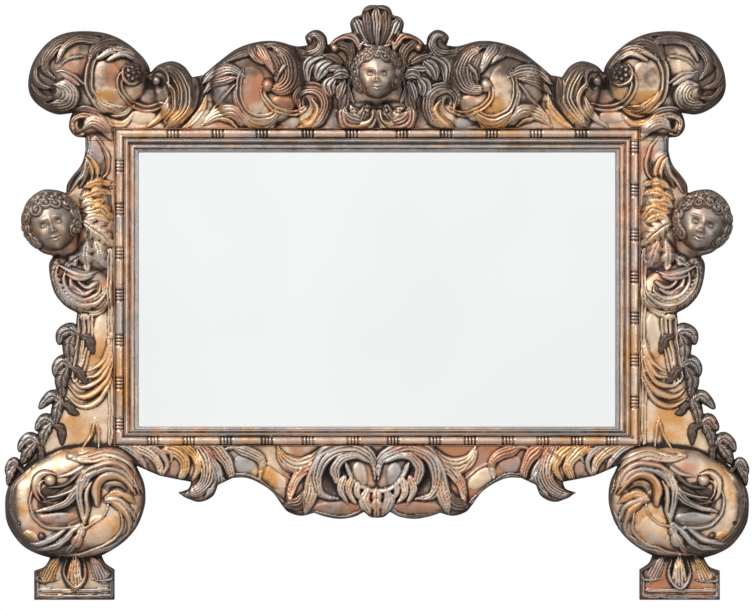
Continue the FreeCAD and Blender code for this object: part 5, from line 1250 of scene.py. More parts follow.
@dataclass(frozen=True)
class CherubHead:
    """A child's head in high relief, calm, on plain proportions.

    Attributes:
        name: the piece's name.
        centre: its middle in pixels of the left half.
        half: its half height in mm.
        ahead: how far its middle lies in front of the ground, in mm.
        deep: its depth as a share of its half height.
        tilt: its turn against the clock, in degrees.
        side: 1 on the left, -1 on the right.
        seed: where the curls' small differences come from.
    """

    name: str
    centre: tuple[float, float]
    half: float
    ahead: float
    deep: float
    tilt: float
    side: int
    seed: int

    def build(self, material: Material, rings: int, spokes: int) -> Thing:
        """Makes the head.

        Args:
            material: its finish.
            rings: how many rings of points lie from the nose to the back.
            spokes: how many points a ring has.

        Returns:
            The new piece.
        """
        theta = np.linspace(0, math.radians(HEAD_REACH), rings)[:, None] * np.ones(spokes)
        phi = np.linspace(0, 2 * math.pi, spokes, endpoint=False)[None, :] * np.ones((rings, 1))
        across, ahead, up = np.sin(theta) * np.cos(phi), np.cos(theta), np.sin(theta) * np.sin(phi)
        swell = np.zeros_like(theta)
        line = np.zeros_like(theta)
        front = clamped(ahead * 3)
        wide, high = across / FACE_SCALE, (up - FACE_MIDDLE) / FACE_SCALE + FACE_MIDDLE
        for bump in FACE:
            for way in ((1, -1) if bump.x else (1,)):
                aside = (wide - way * bump.x) / bump.wide
                shape = np.exp(-(aside**2) - ((high - bump.z) / bump.tall) ** 2)
                swell += bump.rise * shape * front
                # narrow hollows such as lids, lips and pupils become dark lines, and wider hollows get a dark
                # ring: dirt and painted shade in the creases
                if bump.rise < 0 and bump.tall < 0.06:
                    line = np.maximum(line, shape * front * min(1.0, -bump.rise * 14))
                elif bump.rise < 0:
                    line = np.maximum(line, 2.4 * shape * (1 - shape) * front)
        curl_height, curl_line = self._curls(across, ahead, up)
        hair = curl_height > 0
        swell = np.where(hair, curl_height, swell)
        line = np.where(hair, curl_line, np.clip(line, 0, 0.85))
        jaw = 1 - 0.10 * clamped(-up) ** 1.5
        radius = (1 + swell) * self.half
        x = across * radius * 0.88 * jaw
        z = up * radius * 0.93
        y = -ahead * radius * self.deep
        turn = math.radians(self.tilt) * self.side
        place = plane([self.centre], self.side)[0]
        points = np.stack([
            place[0] + x * math.cos(turn) - z * math.sin(turn),
            np.minimum(GROUND - self.ahead + y, GROUND + 1.0),
            place[1] + x * math.sin(turn) + z * math.cos(turn),
        ], axis=-1).reshape(-1, 3)
        number = np.arange(rings * spokes).reshape(rings, spokes)
        following = np.roll(number, -1, axis=1)
        faces = np.stack([number[:-1], following[:-1], following[1:], number[1:]], axis=-1).reshape(-1, 4)
        soft = swell - sum(np.roll(swell, step, axis) for axis in (0, 1) for step in (2, -2)) / 4
        # the face browns towards its sides and back, as tarnish and as painted shade where the head turns
        # away; ridge lights crests and shades hollows as painted highlight and shade
        layers = {
            "hollow": line,
            "ridge": np.clip(soft * 30, -1, 1),
            "gold": np.full_like(line, 0.12),
            "silver": np.full_like(line, 0.62),
            "tarnish": np.where(hair, 0.5, 0.06 + 1.1 * np.clip(theta - 0.55, 0, 0.8)),
        }
        return made_mesh(self.name, points, faces, layers, material)

    def _curls(self, across: Array, ahead: Array, up: Array) -> tuple[Array, Array]:
        """Heights of the curls, with zero height where there is no hair, and their chased lines, darkened
        with dirt and painted shade.
        """
        rng = np.random.default_rng(self.seed)
        height = np.zeros_like(across)
        line = np.zeros_like(across)
        for row, (tilt, count, reach) in enumerate(HAIR):
            for i in range(count):
                turn = math.radians(-28 + 236 * (i + 0.5 * (row % 2)) / (count - 1) + rng.normal(0, 2.0))
                away = math.radians(tilt + rng.normal(0, 2.0) + 9 * (1 - abs(math.sin(turn))))
                if row == 0 and math.sin(turn) < 0.62:
                    away += math.radians(13)
                middle = (math.sin(away) * math.cos(turn), math.cos(away), math.sin(away) * math.sin(turn))
                size = reach * rng.uniform(0.9, 1.12)
                away2 = (across - middle[0]) ** 2 + (ahead - middle[1]) ** 2 + (up - middle[2]) ** 2
                gap = np.sqrt(away2) / size
                within = gap < 1
                around = np.arctan2(up - middle[2], across - middle[0])
                way = 1 if rng.random() < 0.5 else -1
                spiral = np.cos(2 * math.pi * CURL_TURNS * gap - way * around + rng.uniform(0, 6))
                bulge = 0.035 + 0.10 * arch(gap) + 0.028 * spiral * (gap < 0.93)
                better = within & (bulge > height)
                height[better] = bulge[better]
                # the grooves of a curl and its edge are darkened with dirt and painted shade
                groove = np.maximum(clamped(-spiral) ** 2 * 0.7, clamped((gap - 0.82) / 0.18))
                line[better] = groove[better]
        return height, line


class Strip(Enum):
    """The four sides of the moulding round the glass."""

    TOP = "top"
    BOTTOM = "bottom"
    LEFT = "left"
    RIGHT = "right"


@dataclass(frozen=True)
class Moulding:
    """A moulding round the glass, mitred at the corners.

    Attributes:
        inner: how far its inner edge lies from the edge of the sight, in mm.
        profile: (reach outwards, height over the front of the core) pairs in mm.
        squeeze: how much narrower the bottom strip is, as a share.
    """

    inner: float
    profile: tuple[tuple[float, float], ...]
    squeeze: float = 1.0

    def reach(self, strip: Strip, out: Array) -> Array:
        """How far a line of the profile lies from the sight edge on one side."""
        if strip is Strip.BOTTOM:
            return self.inner * NARROW + out * self.squeeze
        return self.inner + out

    def build(
        self, name: str, strip: Strip, material: Material, cell: float,
        rings: tuple[float, ...] = (),
    ) -> Thing:
        """Makes one side.

        Args:
            name: the piece's name.
            strip: which side it is.
            material: its finish.
            cell: how far apart the stations along it lie, in mm.
            rings: where the reels lie along a bead strip, in mm from the middle of the sight.

        Returns:
            The new piece.
        """
        rng = np.random.default_rng(SEED + list(Strip).index(strip))
        out, tall = (np.array(column) for column in zip(*self.profile))
        upright = strip in (Strip.LEFT, Strip.RIGHT)
        low, high = (SIGHT_FOOT, SIGHT_TOP) if upright else (-HALF_SIGHT, HALF_SIGHT)
        count = int((high - low) / cell)
        share = np.linspace(0, 1, count + 1)
        far = self.reach(strip, out)
        low_reach = self.reach(Strip.BOTTOM, out) if upright else self.reach(Strip.LEFT, out)
        high_reach = self.reach(Strip.TOP, out)
        along = (low - low_reach)[:, None] * (1 - share) + (high + high_reach)[:, None] * share
        swell = np.interp(share, np.linspace(0, 1, WAVES), rng.normal(0, 0.12, WAVES))
        height = tall[:, None] * np.ones_like(along)
        offset = far[:, None] * np.ones_like(along)
        line = np.zeros_like(along)
        shape = tall - np.interp(out, [out[0], out[-1]], [tall[0], tall[-1]])
        if rings:
            height, offset, line = self._beaded(along, height, offset, out, tall, rings)
        else:
            # the coves of the profile are darkened with dirt and painted shade
            bowl = np.convolve(np.pad(tall, 2, mode="edge"), np.ones(5) / 5, mode="valid") - tall
            line += np.clip(bowl / 0.9, 0, 0.9)[:, None]
        height = height + swell * (shape > 0.5)[:, None]
        x, z = self._placed(strip, along, offset)
        points = np.stack([x, CORE_FRONT - height, z], axis=-1).reshape(-1, 3)
        number = np.arange(points.shape[0]).reshape(x.shape)
        corners = [number[:-1, :-1], number[:-1, 1:], number[1:, 1:], number[1:, :-1]]
        faces = np.stack(corners, axis=-1).reshape(-1, 4)
        if strip in (Strip.BOTTOM, Strip.LEFT):
            faces = faces[:, ::-1]
        tone = np.interp(share, np.linspace(0, 1, PATCHES), rng.uniform(0, 1, PATCHES)) + np.zeros_like(along)
        if rings:
            tone, silver, tarnish = self._rod_colours(strip, along, line, rings, rng)
        else:
            tone, silver, tarnish = self._step_colours(strip, out, line, tone)
        # hollow carries the darkened lines; ridge lightens crests in the shader, as wear and a painted
        # highlight, and darkens coves as painted shade
        layers = {
            "hollow": line,
            "ridge": np.clip(height - blurred(height, 1.5), -1, 1),
            "gold": 0.1 + 0.6 * tone,
            "silver": silver,
            "tarnish": tarnish,
        }
        return made_mesh(name, points, faces, layers, material)

    @staticmethod
    def _placed(strip: Strip, along: Array, offset: Array) -> tuple[Array, Array]:
        """Where the points of a strip lie across and up."""
        if strip is Strip.TOP:
            return along, SIGHT_TOP + offset
        if strip is Strip.BOTTOM:
            return along, SIGHT_FOOT - offset
        if strip is Strip.LEFT:
            return -HALF_SIGHT - offset, along
        return HALF_SIGHT + offset, along

    @staticmethod
    def _rod_colours(
        strip: Strip, along: Array, line: Array, rings: tuple[float, ...], rng: np.random.Generator
    ) -> tuple[Array, Array, Array]:
        """Gold, silver and tarnish of a bead strip, a little different for each rod between two reels."""
        part = np.searchsorted(np.sort(rings), along)
        tone = rng.uniform(-0.1, 1.1, len(rings) + 1)[part]
        silver = rng.uniform(-0.1, 0.35, len(rings) + 1)[part]
        # the dark lines, dirt and painted shade, also brown the tarnish
        tarnish = 0.7 * line + rng.uniform(-0.45, 0.05, len(rings) + 1)[part]
        return tone, silver, tarnish + (0.35 if strip is Strip.TOP else 0.0)

    @staticmethod
    def _step_colours(strip: Strip, out: Array, line: Array, tone: Array) -> tuple[Array, Array, Array]:
        """Gold, silver and tarnish of the stepped moulding, whose lip beside the glass is silvery."""
        silver = 0.30 * (1 - tone)
        # the coves' darkness, dirt and painted shade, also browns the tarnish
        tarnish = 0.5 * line + 0.2 * tone - 0.1
        if strip is not Strip.BOTTOM:
            silver = np.where(out[:, None] < LIP_WIDTH, 0.85, silver)
        if strip in (Strip.TOP, Strip.BOTTOM):
            silver = silver + 0.5
        if strip is Strip.TOP:
            tarnish = tarnish + 0.3
        elif strip is not Strip.BOTTOM:
            tone = np.where(out[:, None] > RIM_START, 0.7 + 0.4 * tone, 0.1 * tone)
        return tone, silver, tarnish

    @staticmethod
    def _beaded(
        along: Array, height: Array, offset: Array, out: Array, tall: Array,
        rings: tuple[float, ...],
    ) -> tuple[Array, Array, Array]:
        """Draws the rod in beside each reel, darkens the grooves there with dirt and painted shade, and
        paints shade along the rod's flanks.

        Args:
            along: where each point lies along the strip.
            height: its height over the core.
            offset: how far out it lies.
            out: the profile's reach.
            tall: the profile's height.
            rings: where the reels lie.

        Returns:
            The heights, the offsets and the darkness: dirt and painted shade in the grooves, painted shade on
            the rod's flanks.
        """
        middle = (out[0] + out[-1]) / 2
        away = np.abs(out - middle)
        rod = away < ROD_REACH
        bed = tall[~rod].max() * 0.6
        grip = np.zeros_like(along)
        dark = np.zeros_like(along)
        for place in rings:
            gap = np.abs(along - place)
            waves = 0.5 + 0.5 * np.cos(gap * 2 * math.pi / REEL_PITCH)
            grip = np.where(gap < REEL_HALF, 0.30 * (1 - waves), grip)
            # the turns of a reel and the necks beside it are darkened with dirt and painted shade
            dark = np.where(gap < REEL_SHADE, np.maximum(0.8 * (1 - waves) ** 2, 0.3), dark)
            neck = clamped(1 - np.abs(gap - REEL_NECK) / 1.6)
            grip = np.maximum(grip, 0.34 * neck)
            dark = np.maximum(dark, 0.8 * neck**2)
        grip *= rod[:, None]
        dark *= rod[:, None]
        height = height - (height - bed) * grip
        offset = offset - (out - middle)[:, None] * grip * 0.55
        # dark lines where the rod meets its bed, with dirt and painted shade
        sides = clamped(1 - np.abs(away - 4.7) / 0.9)
        # painted shade on the rod's flanks, so that its crest reads as lit
        painted_flank_shade = 0.6 * clamped(away / ROD_RADIUS) ** 4 * rod
        return height, offset, np.maximum(dark, np.maximum(sides, painted_flank_shade)[:, None])


def rod_profile() -> tuple[tuple[float, float], ...]:
    """The bead strip across: a fillet, the bed, the round rod, the bed and a fillet."""
    rod = []
    for degrees in range(0, 181, 15):
        turn = math.radians(degrees)
        rise = BEAD_BED + 0.4 + ROD_RADIUS * math.sin(turn)
        rod.append((BEAD_HALF - ROD_RADIUS * math.cos(turn), rise))
    return (
        (0.0, 3.0), (0.0, 5.6), (0.25, 6.0), (0.75, 6.0), (0.95, 5.6), (1.0, 4.9), *rod,
        (10.0, 4.9), (10.05, 5.6), (10.25, 6.0), (10.75, 6.0), (11.0, 5.6), (11.0, 0.2),
    )


SIGHT_MOULDING = Moulding(
    0.0,
    (
        (0.0, -9.5), (0.0, -4.0), (0.0, 0.5), (0.2, 1.3), (0.7, 1.7), (1.4, 1.9), (2.2, 2.0), (3.0, 2.1),
        (3.6, 2.3), (3.9, 3.2), (4.2, 3.9), (4.8, 4.3), (5.6, 4.4), (6.4, 4.2), (7.0, 3.7), (7.6, 3.5),
        (8.4, 3.7), (9.2, 4.4), (9.8, 5.4), (10.2, 6.3), (10.7, 6.8), (11.4, 7.0), (12.1, 6.9), (12.6, 6.5),
        (12.9, 5.8), (13.0, 3.0),
    ),
    NARROW,
)
BEAD_MOULDING = Moulding(13.0, rod_profile())


@dataclass(frozen=True)
class Applied:
    """A small piece that is chased apart and pinned on.

    Attributes:
        outlines: its closed outlines in pixels.
        body: what it swells to, in mm.
        shoulder: how wide its shoulder is, in mm.
        strokes: what is laid on it.
        tint: the colour of its ground.
    """

    outlines: tuple[Points, ...]
    body: float
    shoulder: float
    strokes: tuple[Stroke | Mound, ...]
    tint: Tone = STEEL

    def build(self, name: str, side: int, material: Material, cell: float, both: bool = False) -> Thing:
        """Makes the piece.

        Args:
            name: its name.
            side: 1 on the left, -1 on the right.
            material: its finish.
            cell: the size of a cell in mm.
            both: whether the right half is a mirror of the left in one piece.

        Returns:
            The new piece.
        """
        sides = (1, -1) if both else (side,)
        shapes = self.outlines
        if both:
            shapes = tuple(half + [(2 * PIXEL_CENTRE - x, y) for x, y in half[-2:0:-1]] for half in shapes)
        outlines = []
        for shape in shapes:
            points = plane(shape, side)
            outlines.append(smooth_line(np.vstack([points, points[:1]]), 1.0)[:-1])
        every = np.vstack(outlines)
        low, high = every.min(axis=0) - 3, every.max(axis=0) + 3
        grid = Grid(stations(low[0], high[0], cell=cell), stations(low[1], high[1], cell=cell), cell)
        for shape in shapes:
            grid.raise_panel(Panel(shape, self.body, self.shoulder), side)
        grid.tint(EVERYWHERE, 1.0, self.tint)
        rng = np.random.default_rng(SEED + len(name) + side)
        for way in sides:
            grid.work(self.strokes, way, APPLIED_STRAY, rng)
        surface = Surface(grid, outlines, back=GROUND + 1.2, rim=1.8, fold=0.4, stain=2.2)
        region = np.ones((grid.u.shape[0] - 1, grid.u.shape[1] - 1), dtype=bool)
        return surface.mesh(name, region, GROUND + 1.2, material)


def blade_outline(width: float, points: Points, oval: bool = False) -> Points:
    """The closed outline, in pixels, of an oval, or of a blade that is blunt at its root and pointed."""
    path = smooth_line(np.asarray(points, dtype=float))
    step = np.gradient(path, axis=0)
    across = np.stack([-step[:, 1], step[:, 0]], axis=1) / np.hypot(step[:, 0], step[:, 1])[:, None]
    t = np.linspace(0, 1, len(path))
    half = width / 2 * (np.sin(math.pi * t) ** 0.6 if oval else np.sqrt(clamped(1.02 - t**2.2)))
    if not oval:
        half = half * clamped(0.35 + 2.2 * t)
    sides = np.vstack([path + across * half[:, None], (path - across * half[:, None])[::-1]])
    return [tuple(point) for point in sides]


# The feathers of a wing, the lowest first: their widths, rises, flutes, tones and centre lines.
FEATHERS: tuple[tuple[float, float, int, Tone, Points], ...] = (
    (13, 1.0, 2, BROWN, [(351, 58), (347, 74), (350, 94)]),
    (7, 2.0, 2, DULL, [(346, 82), (350, 94), (355, 106)]),
    (15, 3.0, 3, BROWN, [(347, 92), (344, 104), (340, 115)]),
    (13, 4.0, 3, DULL, [(345, 80), (341, 90), (338, 102)]),
    (16, 3.0, 3, DULL, [(334, 57), (318, 58), (308, 68), (309, 85)]),
    (17, 5.0, 3, DULL, [(337, 77), (329, 86), (332, 98)]),
    (17, 5.5, 3, DULL, [(333, 61), (322, 69), (317, 82)]),
    (11, 5.0, 2, BROWN, [(323, 56), (334, 58), (345, 65)]),
    (11, 5.5, 2, DULL, [(326, 70), (336, 69), (346, 70)]),
    (13, 6.5, 3, DULL, [(332, 78), (341, 74), (350, 77)]),
)


def wing() -> Applied:
    """The left wing beside the crest's head: feathers that overlap like tiles."""
    outlines = tuple(blade_outline(width, points, oval=True) for width, _, _, _, points in FEATHERS)
    strokes = tuple(
        flutes(width, rise, count, points, tone=tone, drop=0.26)
        for width, rise, count, tone, points in FEATHERS
    )
    return Applied(outlines, 3.0, 5.0, strokes)


SHELL = Applied(
    (
        [(377, 50), (366, 48), (359, 42), (353, 32), (350, 24), (353, 18), (359, 16), (362, 15), (363, 10),
         (368, 7), (372, 6), (377, 6)],
    ),
    5.0, 16.0,
    (
        flutes(17, 4.5, 4, [(369, 47), (361, 35), (355, 20)], Taper.HORN, DULL),
        flutes(12, 5.0, 3, [(373, 47), (368, 30), (367, 13)], Taper.HORN, BROWN),
        flutes(13, 5.5, 3, [(377, 48), (377, 28), (377, 11)], Taper.HORN, DULL),
        strand(6, 5.5, [(354, 33), (351, 24), (355, 17), (362, 17)], tone=BROWN),
        strand(7, 6.5, [(363, 18), (364, 11), (370, 8), (377, 8)], tone=BROWN),
        # a hollow toned brown, as tarnish and painted shade
        plain(360, 39, 3, 6, -2.5, 22, BROWN),
        strand(5, 6.0, [(357, 44), (366, 47), (377, 48)], tone=PALE),
    ),
)

# The three blades of each leaf of the garland: their widths and centre lines in pixels of the left half.
GARLAND_BLADES: tuple[tuple[float, Points], ...] = (
    (13, [(80, 336), (71, 330), (62, 334), (59, 345)]),
    (13, [(79, 337), (88, 338), (91, 346), (94, 355)]),
    (14, [(75, 333), (70, 346), (71, 367)]),
    (12, [(74, 369), (64, 361), (57, 367), (55, 377)]),
    (12, [(70, 368), (78, 371), (83, 378), (89, 383)]),
    (14, [(69, 365), (62, 380), (64, 398)]),
    (12, [(66, 405), (54, 396), (46, 401), (39, 409)]),
    (11, [(61, 403), (69, 406), (73, 412), (80, 414)]),
    (12, [(62, 399), (57, 412), (55, 426)]),
    (11, [(55, 427), (46, 419), (40, 424), (36, 431)]),
    (11, [(52, 425), (60, 428), (62, 436), (62, 446)]),
    (12, [(52, 422), (44, 434), (42, 448)]),
    (11, [(40, 447), (31, 438), (23, 443), (19, 452)]),
    (9, [(36, 446), (41, 450), (41, 458), (39, 465)]),
    (12, [(36, 442), (27, 454), (22, 465)]),
    (9, [(20, 468), (14, 462), (9, 468), (7, 476)]),
    (7, [(17, 467), (22, 470), (24, 475), (22, 481)]),
    (9, [(18, 464), (11, 474), (8, 486)]),
)


def garland() -> Applied:
    """The leaves that run down the lower edge of one side, each with three blades."""
    outlines = tuple(blade_outline(width * 1.2, points) for width, points in GARLAND_BLADES)
    strokes = []
    for number, (width, points) in enumerate(GARLAND_BLADES):
        tone = (STEEL, BROWN, DULL)[number % 3]
        strokes.append(leaf(width * 1.26, 2.4 + 0.8 * (number % 3), 3, points, tone))
    return Applied(outlines, 2.4, 5.0, tuple(strokes), tint=BROWN)


class NodeTree:
    """A short way to write shader and geometry node trees."""

    def __init__(self, tree: bpy.types.NodeTree) -> None:
        """Keeps the tree that is written."""
        self.tree = tree

    def add(self, kind: str, inputs: dict | None = None, **settings: object) -> bpy.types.Node:
        """Adds a node.

        Args:
            kind: the node's type.
            inputs: values or output sockets by input name or number.
            settings: the node's own properties.

        Returns:
            The node.
        """
        node = self.tree.nodes.new(kind)
        for name, value in settings.items():
            setattr(node, name, value)
        for name, value in (inputs or {}).items():
            socket = node.inputs[name]
            if isinstance(value, Socket):
                self.tree.links.new(value, socket)
            else:
                socket.default_value = value
        return node

    def link(self, source: Socket, target: Socket) -> None:
        """Links two sockets."""
        self.tree.links.new(source, target)

    def math(self, operation: str, *values: object, clamp: bool = False) -> Socket:
        """The result of a sum."""
        node = self.add("ShaderNodeMath", dict(enumerate(values)), operation=operation, use_clamp=clamp)
        return node.outputs[0]

    # a sum of two values, their product, and the first times the second plus the third
    plus = partialmethod(math, "ADD")
    times = partialmethod(math, "MULTIPLY")
    scaled = partialmethod(math, "MULTIPLY_ADD")

    def mix(self, factor: object, first: object, second: object) -> Socket:
        """A blend of two colours."""
        return self.add("ShaderNodeMix", {"Factor": factor, 6: first, 7: second}, data_type="RGBA").outputs[2]

    def noise(self, scale: float, detail: float, vector: Socket) -> Socket:
        """A cloudy value from 0 to 1."""
        return self.add("ShaderNodeTexNoise", {"Scale": scale, "Detail": detail, "Vector": vector}).outputs[0]

    def bump(self, strength: float, distance: float, height: Socket, target: Socket) -> None:
        """Leads a height to a shader's normal."""
        settings = {"Strength": strength, "Distance": distance, "Height": height}
        self.link(self.add("ShaderNodeBump", settings).outputs[0], target)

    def place(self) -> Socket:
        """The Object coordinates."""
        return self.add("ShaderNodeTexCoord").outputs["Object"]

    def ramp(self, value: Socket, low: float, high: float) -> Socket:
        """A value stretched so that low becomes 0 and high becomes 1, and eased."""
        limits = {"Value": value, "From Min": low, "From Max": high}
        return self.add("ShaderNodeMapRange", limits, interpolation_type="SMOOTHSTEP").outputs[0]


def colour(red: float, green: float, blue: float) -> Colour:
    """A colour with full alpha."""
    return red, green, blue, 1.0


def dimmed(base: Colour, share: float) -> Colour:
    """A share of a colour."""
    return tuple(part * share for part in base[:3]) + (1.0,)


def started(name: str) -> tuple[Material, NodeTree, bpy.types.NodeInputs]:
    """A new material, its tree and the inputs of its shader."""
    made = bpy.data.materials.new(name)
    made.use_nodes = True
    return made, NodeTree(made.node_tree), made.node_tree.nodes["Principled BSDF"].inputs


# the colours of bare and of covered metal; the last is the dark of dirt and of painted shade in lines and
# hollows
METALS: dict[str, Colour] = {
    "Copper": colour(0.50, 0.22, 0.118), "Sand": colour(0.80, 0.615, 0.44),
    "Gilt": colour(0.71, 0.365, 0.135), "Silver": colour(0.43, 0.41, 0.40),
    "Brown": colour(0.102, 0.072, 0.058), "Dirt and shade": colour(0.036, 0.026, 0.021),
}


def worn_metal_group() -> bpy.types.NodeTree:
    """Sheet metal that is worn bright on its crests, with a painted highlight there, brown with tarnish, and
    dark in its lines and hollows with dirt and painted shade.
    """
    group = bpy.data.node_groups.new("worn_metal", "ShaderNodeTree")
    for name, value in (METALS | {"Age": 1.0, "Polish": 0.45}).items():
        kind = "NodeSocketColor" if name in METALS else "NodeSocketFloat"
        socket = group.interface.new_socket(name=name, in_out="INPUT", socket_type=kind)
        socket.default_value = value
    for name, kind in (
        ("Base Color", "NodeSocketColor"), ("Roughness", "NodeSocketFloat"), ("Metallic", "NodeSocketFloat"),
        ("Height", "NodeSocketFloat"),
    ):
        group.interface.new_socket(name=name, in_out="OUTPUT", socket_type=kind)
    tree = NodeTree(group)
    inputs = tree.add("NodeGroupInput").outputs
    outputs = tree.add("NodeGroupOutput").inputs
    place = tree.place()
    worn = {
        name: tree.add("ShaderNodeAttribute", attribute_name=name).outputs["Fac"]
        for name in ("hollow", "ridge", "gold", "silver", "tarnish", "grain")
    }
    broad = tree.noise(11.0, 3.0, place)
    cloudy = tree.noise(48.0, 4.0, place)
    fine = tree.noise(320.0, 3.0, place)
    speck = tree.noise(900.0, 2.0, place)
    # hair lines along the strands, which give out in the hollows and here and there
    hair = tree.math("SINE", tree.times(worn["grain"], math.tau / HAIR_SPACING))
    clear = tree.scaled(worn["hollow"], -1.6, 1.0, clamp=True)
    hair = tree.times(tree.times(hair, clear), tree.ramp(cloudy, 0.25, 0.55))
    gold = tree.plus(worn["gold"], tree.scaled(broad, 2.2, -1.08))
    gold = tree.scaled(tree.plus(cloudy, -0.5), 1.6, gold)
    bare = tree.mix(tree.ramp(gold, -0.05, 0.5), inputs["Copper"], inputs["Sand"])
    bare = tree.mix(tree.ramp(gold, 0.45, 1.0), bare, inputs["Gilt"])
    silver = tree.plus(worn["silver"], tree.scaled(tree.noise(30.0, 3.0, place), 2.0, -1.0))
    # crests lean towards silver: wear, and a painted highlight
    silver = tree.scaled(worn["ridge"], 0.25, silver)
    metal = tree.mix(tree.ramp(silver, 0.05, 0.95), bare, inputs["Silver"])
    # crests lean towards a pale colour: wear, and a painted highlight
    worn_and_highlit_crests = tree.math("MAXIMUM", worn["ridge"], 0.0)
    metal = tree.mix(tree.times(worn_and_highlit_crests, 0.42, clamp=True), metal, colour(0.68, 0.54, 0.43))
    tarnish = tree.plus(worn["tarnish"], tree.scaled(cloudy, 0.9, -0.45))
    tarnish = tree.scaled(broad, 0.5, tree.plus(tarnish, -0.25))
    # lines and hollows turn browner and crests less brown: tarnish, with painted shade in lines and hollows
    # and a painted highlight on crests
    tarnish = tree.scaled(worn["hollow"], 0.7, tarnish)
    tarnish = tree.scaled(worn["ridge"], -0.45, tarnish)
    tarnish = tree.scaled(hair, -0.4, tarnish)
    tarnish = tree.scaled(tree.plus(tree.noise(150.0, 3.0, place), -0.5), 0.8, tarnish)
    metal = tree.mix(tree.times(tree.ramp(tarnish, 0.05, 0.95), 0.92), metal, inputs["Brown"])
    # hollows of the surface darken as painted shade
    sunk = tree.math("MAXIMUM", tree.times(worn["ridge"], -0.7), 0.0)
    # lines and hollows darken towards the dark colour with dirt and painted shade
    dirt_and_shade = tree.plus(tree.times(worn["hollow"], inputs["Age"]), sunk)
    dirt_and_shade = tree.plus(dirt_and_shade, tree.scaled(fine, 0.5, -0.25))
    dark = tree.ramp(dirt_and_shade, 0.33, 1.22)
    tree.link(tree.mix(dark, metal, inputs["Dirt and shade"]), outputs["Base Color"])
    rough = tree.scaled(cloudy, 0.3, tree.plus(inputs["Polish"], -0.12))
    tree.link(tree.scaled(dark, 0.38, rough, clamp=True), outputs["Roughness"])
    tree.link(tree.scaled(dark, -0.6, 1.0, clamp=True), outputs["Metallic"])
    dents = tree.add("ShaderNodeTexVoronoi", {"Scale": 130.0, "Vector": place}, feature="SMOOTH_F1")
    height = tree.scaled(dents.outputs[0], 0.5, tree.times(fine, 0.5))
    height = tree.scaled(hair, 0.45, height)
    height = tree.scaled(cloudy, 6.0, height)
    tree.link(tree.scaled(speck, 0.12, height), outputs["Height"])
    return group


@dataclass(frozen=True)
class WornMetal:
    """Sheet metal with its patina."""

    name: str
    copper: Colour = METALS["Copper"]
    sand: Colour = METALS["Sand"]
    silver: Colour = METALS["Silver"]
    # how strongly lines and hollows darken with dirt and painted shade
    hollow_dirt_and_shade: float = 1.0
    polish: float = 0.45
    bump: float = 0.0003

    def material(self, group: bpy.types.NodeTree) -> Material:
        """The material."""
        made, tree, shader = started(self.name)
        worn = tree.add("ShaderNodeGroup", node_tree=group)
        for name, value in (
            ("Copper", self.copper), ("Sand", self.sand), ("Silver", self.silver), ("Age", self.hollow_dirt_and_shade),
            ("Polish", self.polish),
        ):
            worn.inputs[name].default_value = value
        for name in ("Base Color", "Roughness", "Metallic"):
            tree.link(worn.outputs[name], shader[name])
        tree.bump(0.7, self.bump, worn.outputs["Height"], shader["Normal"])
        return made


@dataclass(frozen=True)
class Plain:
    """A finish with one colour that is a little cloudy."""

    name: str
    base: Colour
    roughness: float
    metallic: float = 0.0
    cloud: float = 0.25
    scale: float = 60.0

    def material(self) -> Material:
        """The material."""
        made, tree, shader = started(self.name)
        place = tree.place()
        cloud = tree.noise(self.scale, 5.0, place)
        tree.link(tree.mix(cloud, dimmed(self.base, 1 - self.cloud), self.base), shader["Base Color"])
        shader["Roughness"].default_value = self.roughness
        shader["Metallic"].default_value = self.metallic
        return made


@dataclass(frozen=True)
class Wood:
    """Bare old softwood or hardwood with its grain along one axis."""

    name: str
    light: Colour
    dark: Colour
    stretch: tuple[float, float, float]

    def material(self) -> Material:
        """The material."""
        made, tree, shader = started(self.name)
        place = tree.place()
        run = tree.add("ShaderNodeMapping", {"Vector": place, "Scale": self.stretch}).outputs[0]
        grain = tree.noise(9.0, 6.0, run)
        fibre = tree.noise(70.0, 3.0, run)
        stain = tree.noise(7.0, 3.0, place)
        tone = tree.plus(tree.ramp(grain, 0.35, 0.65), tree.scaled(fibre, 0.5, -0.25), clamp=True)
        wood = tree.mix(tone, self.dark, self.light)
        stained = tree.mix(tree.ramp(stain, 0.5, 0.85), wood, dimmed(self.dark, 0.55))
        tree.link(stained, shader["Base Color"])
        shader["Roughness"].default_value = 0.72
        tree.bump(0.4, 0.0004, fibre, shader["Normal"])
        return made


@dataclass(frozen=True)
class SilveredGlass:
    """An old silvered plate: a slightly dull mirror with a few specks."""

    name: str = "silvered_glass"

    def material(self) -> Material:
        """The material."""
        made, tree, shader = started(self.name)
        place = tree.place()
        speck = tree.add("ShaderNodeTexVoronoi", {"Scale": 14.0, "Vector": place}).outputs["Distance"]
        dust = tree.ramp(tree.noise(30.0, 3.0, place), 0.62, 0.8)
        spot = tree.math("SUBTRACT", 1.0, tree.ramp(speck, 0.012, 0.03))
        cloud = tree.mix(tree.noise(5.0, 2.0, place), colour(0.78, 0.80, 0.80), colour(0.88, 0.89, 0.89))
        specks = tree.mix(tree.times(spot, dust), cloud, colour(0.2, 0.19, 0.17))
        tree.link(specks, shader["Base Color"])
        shader["Metallic"].default_value = 1.0
        shader["Roughness"].default_value = 0.03
        return made


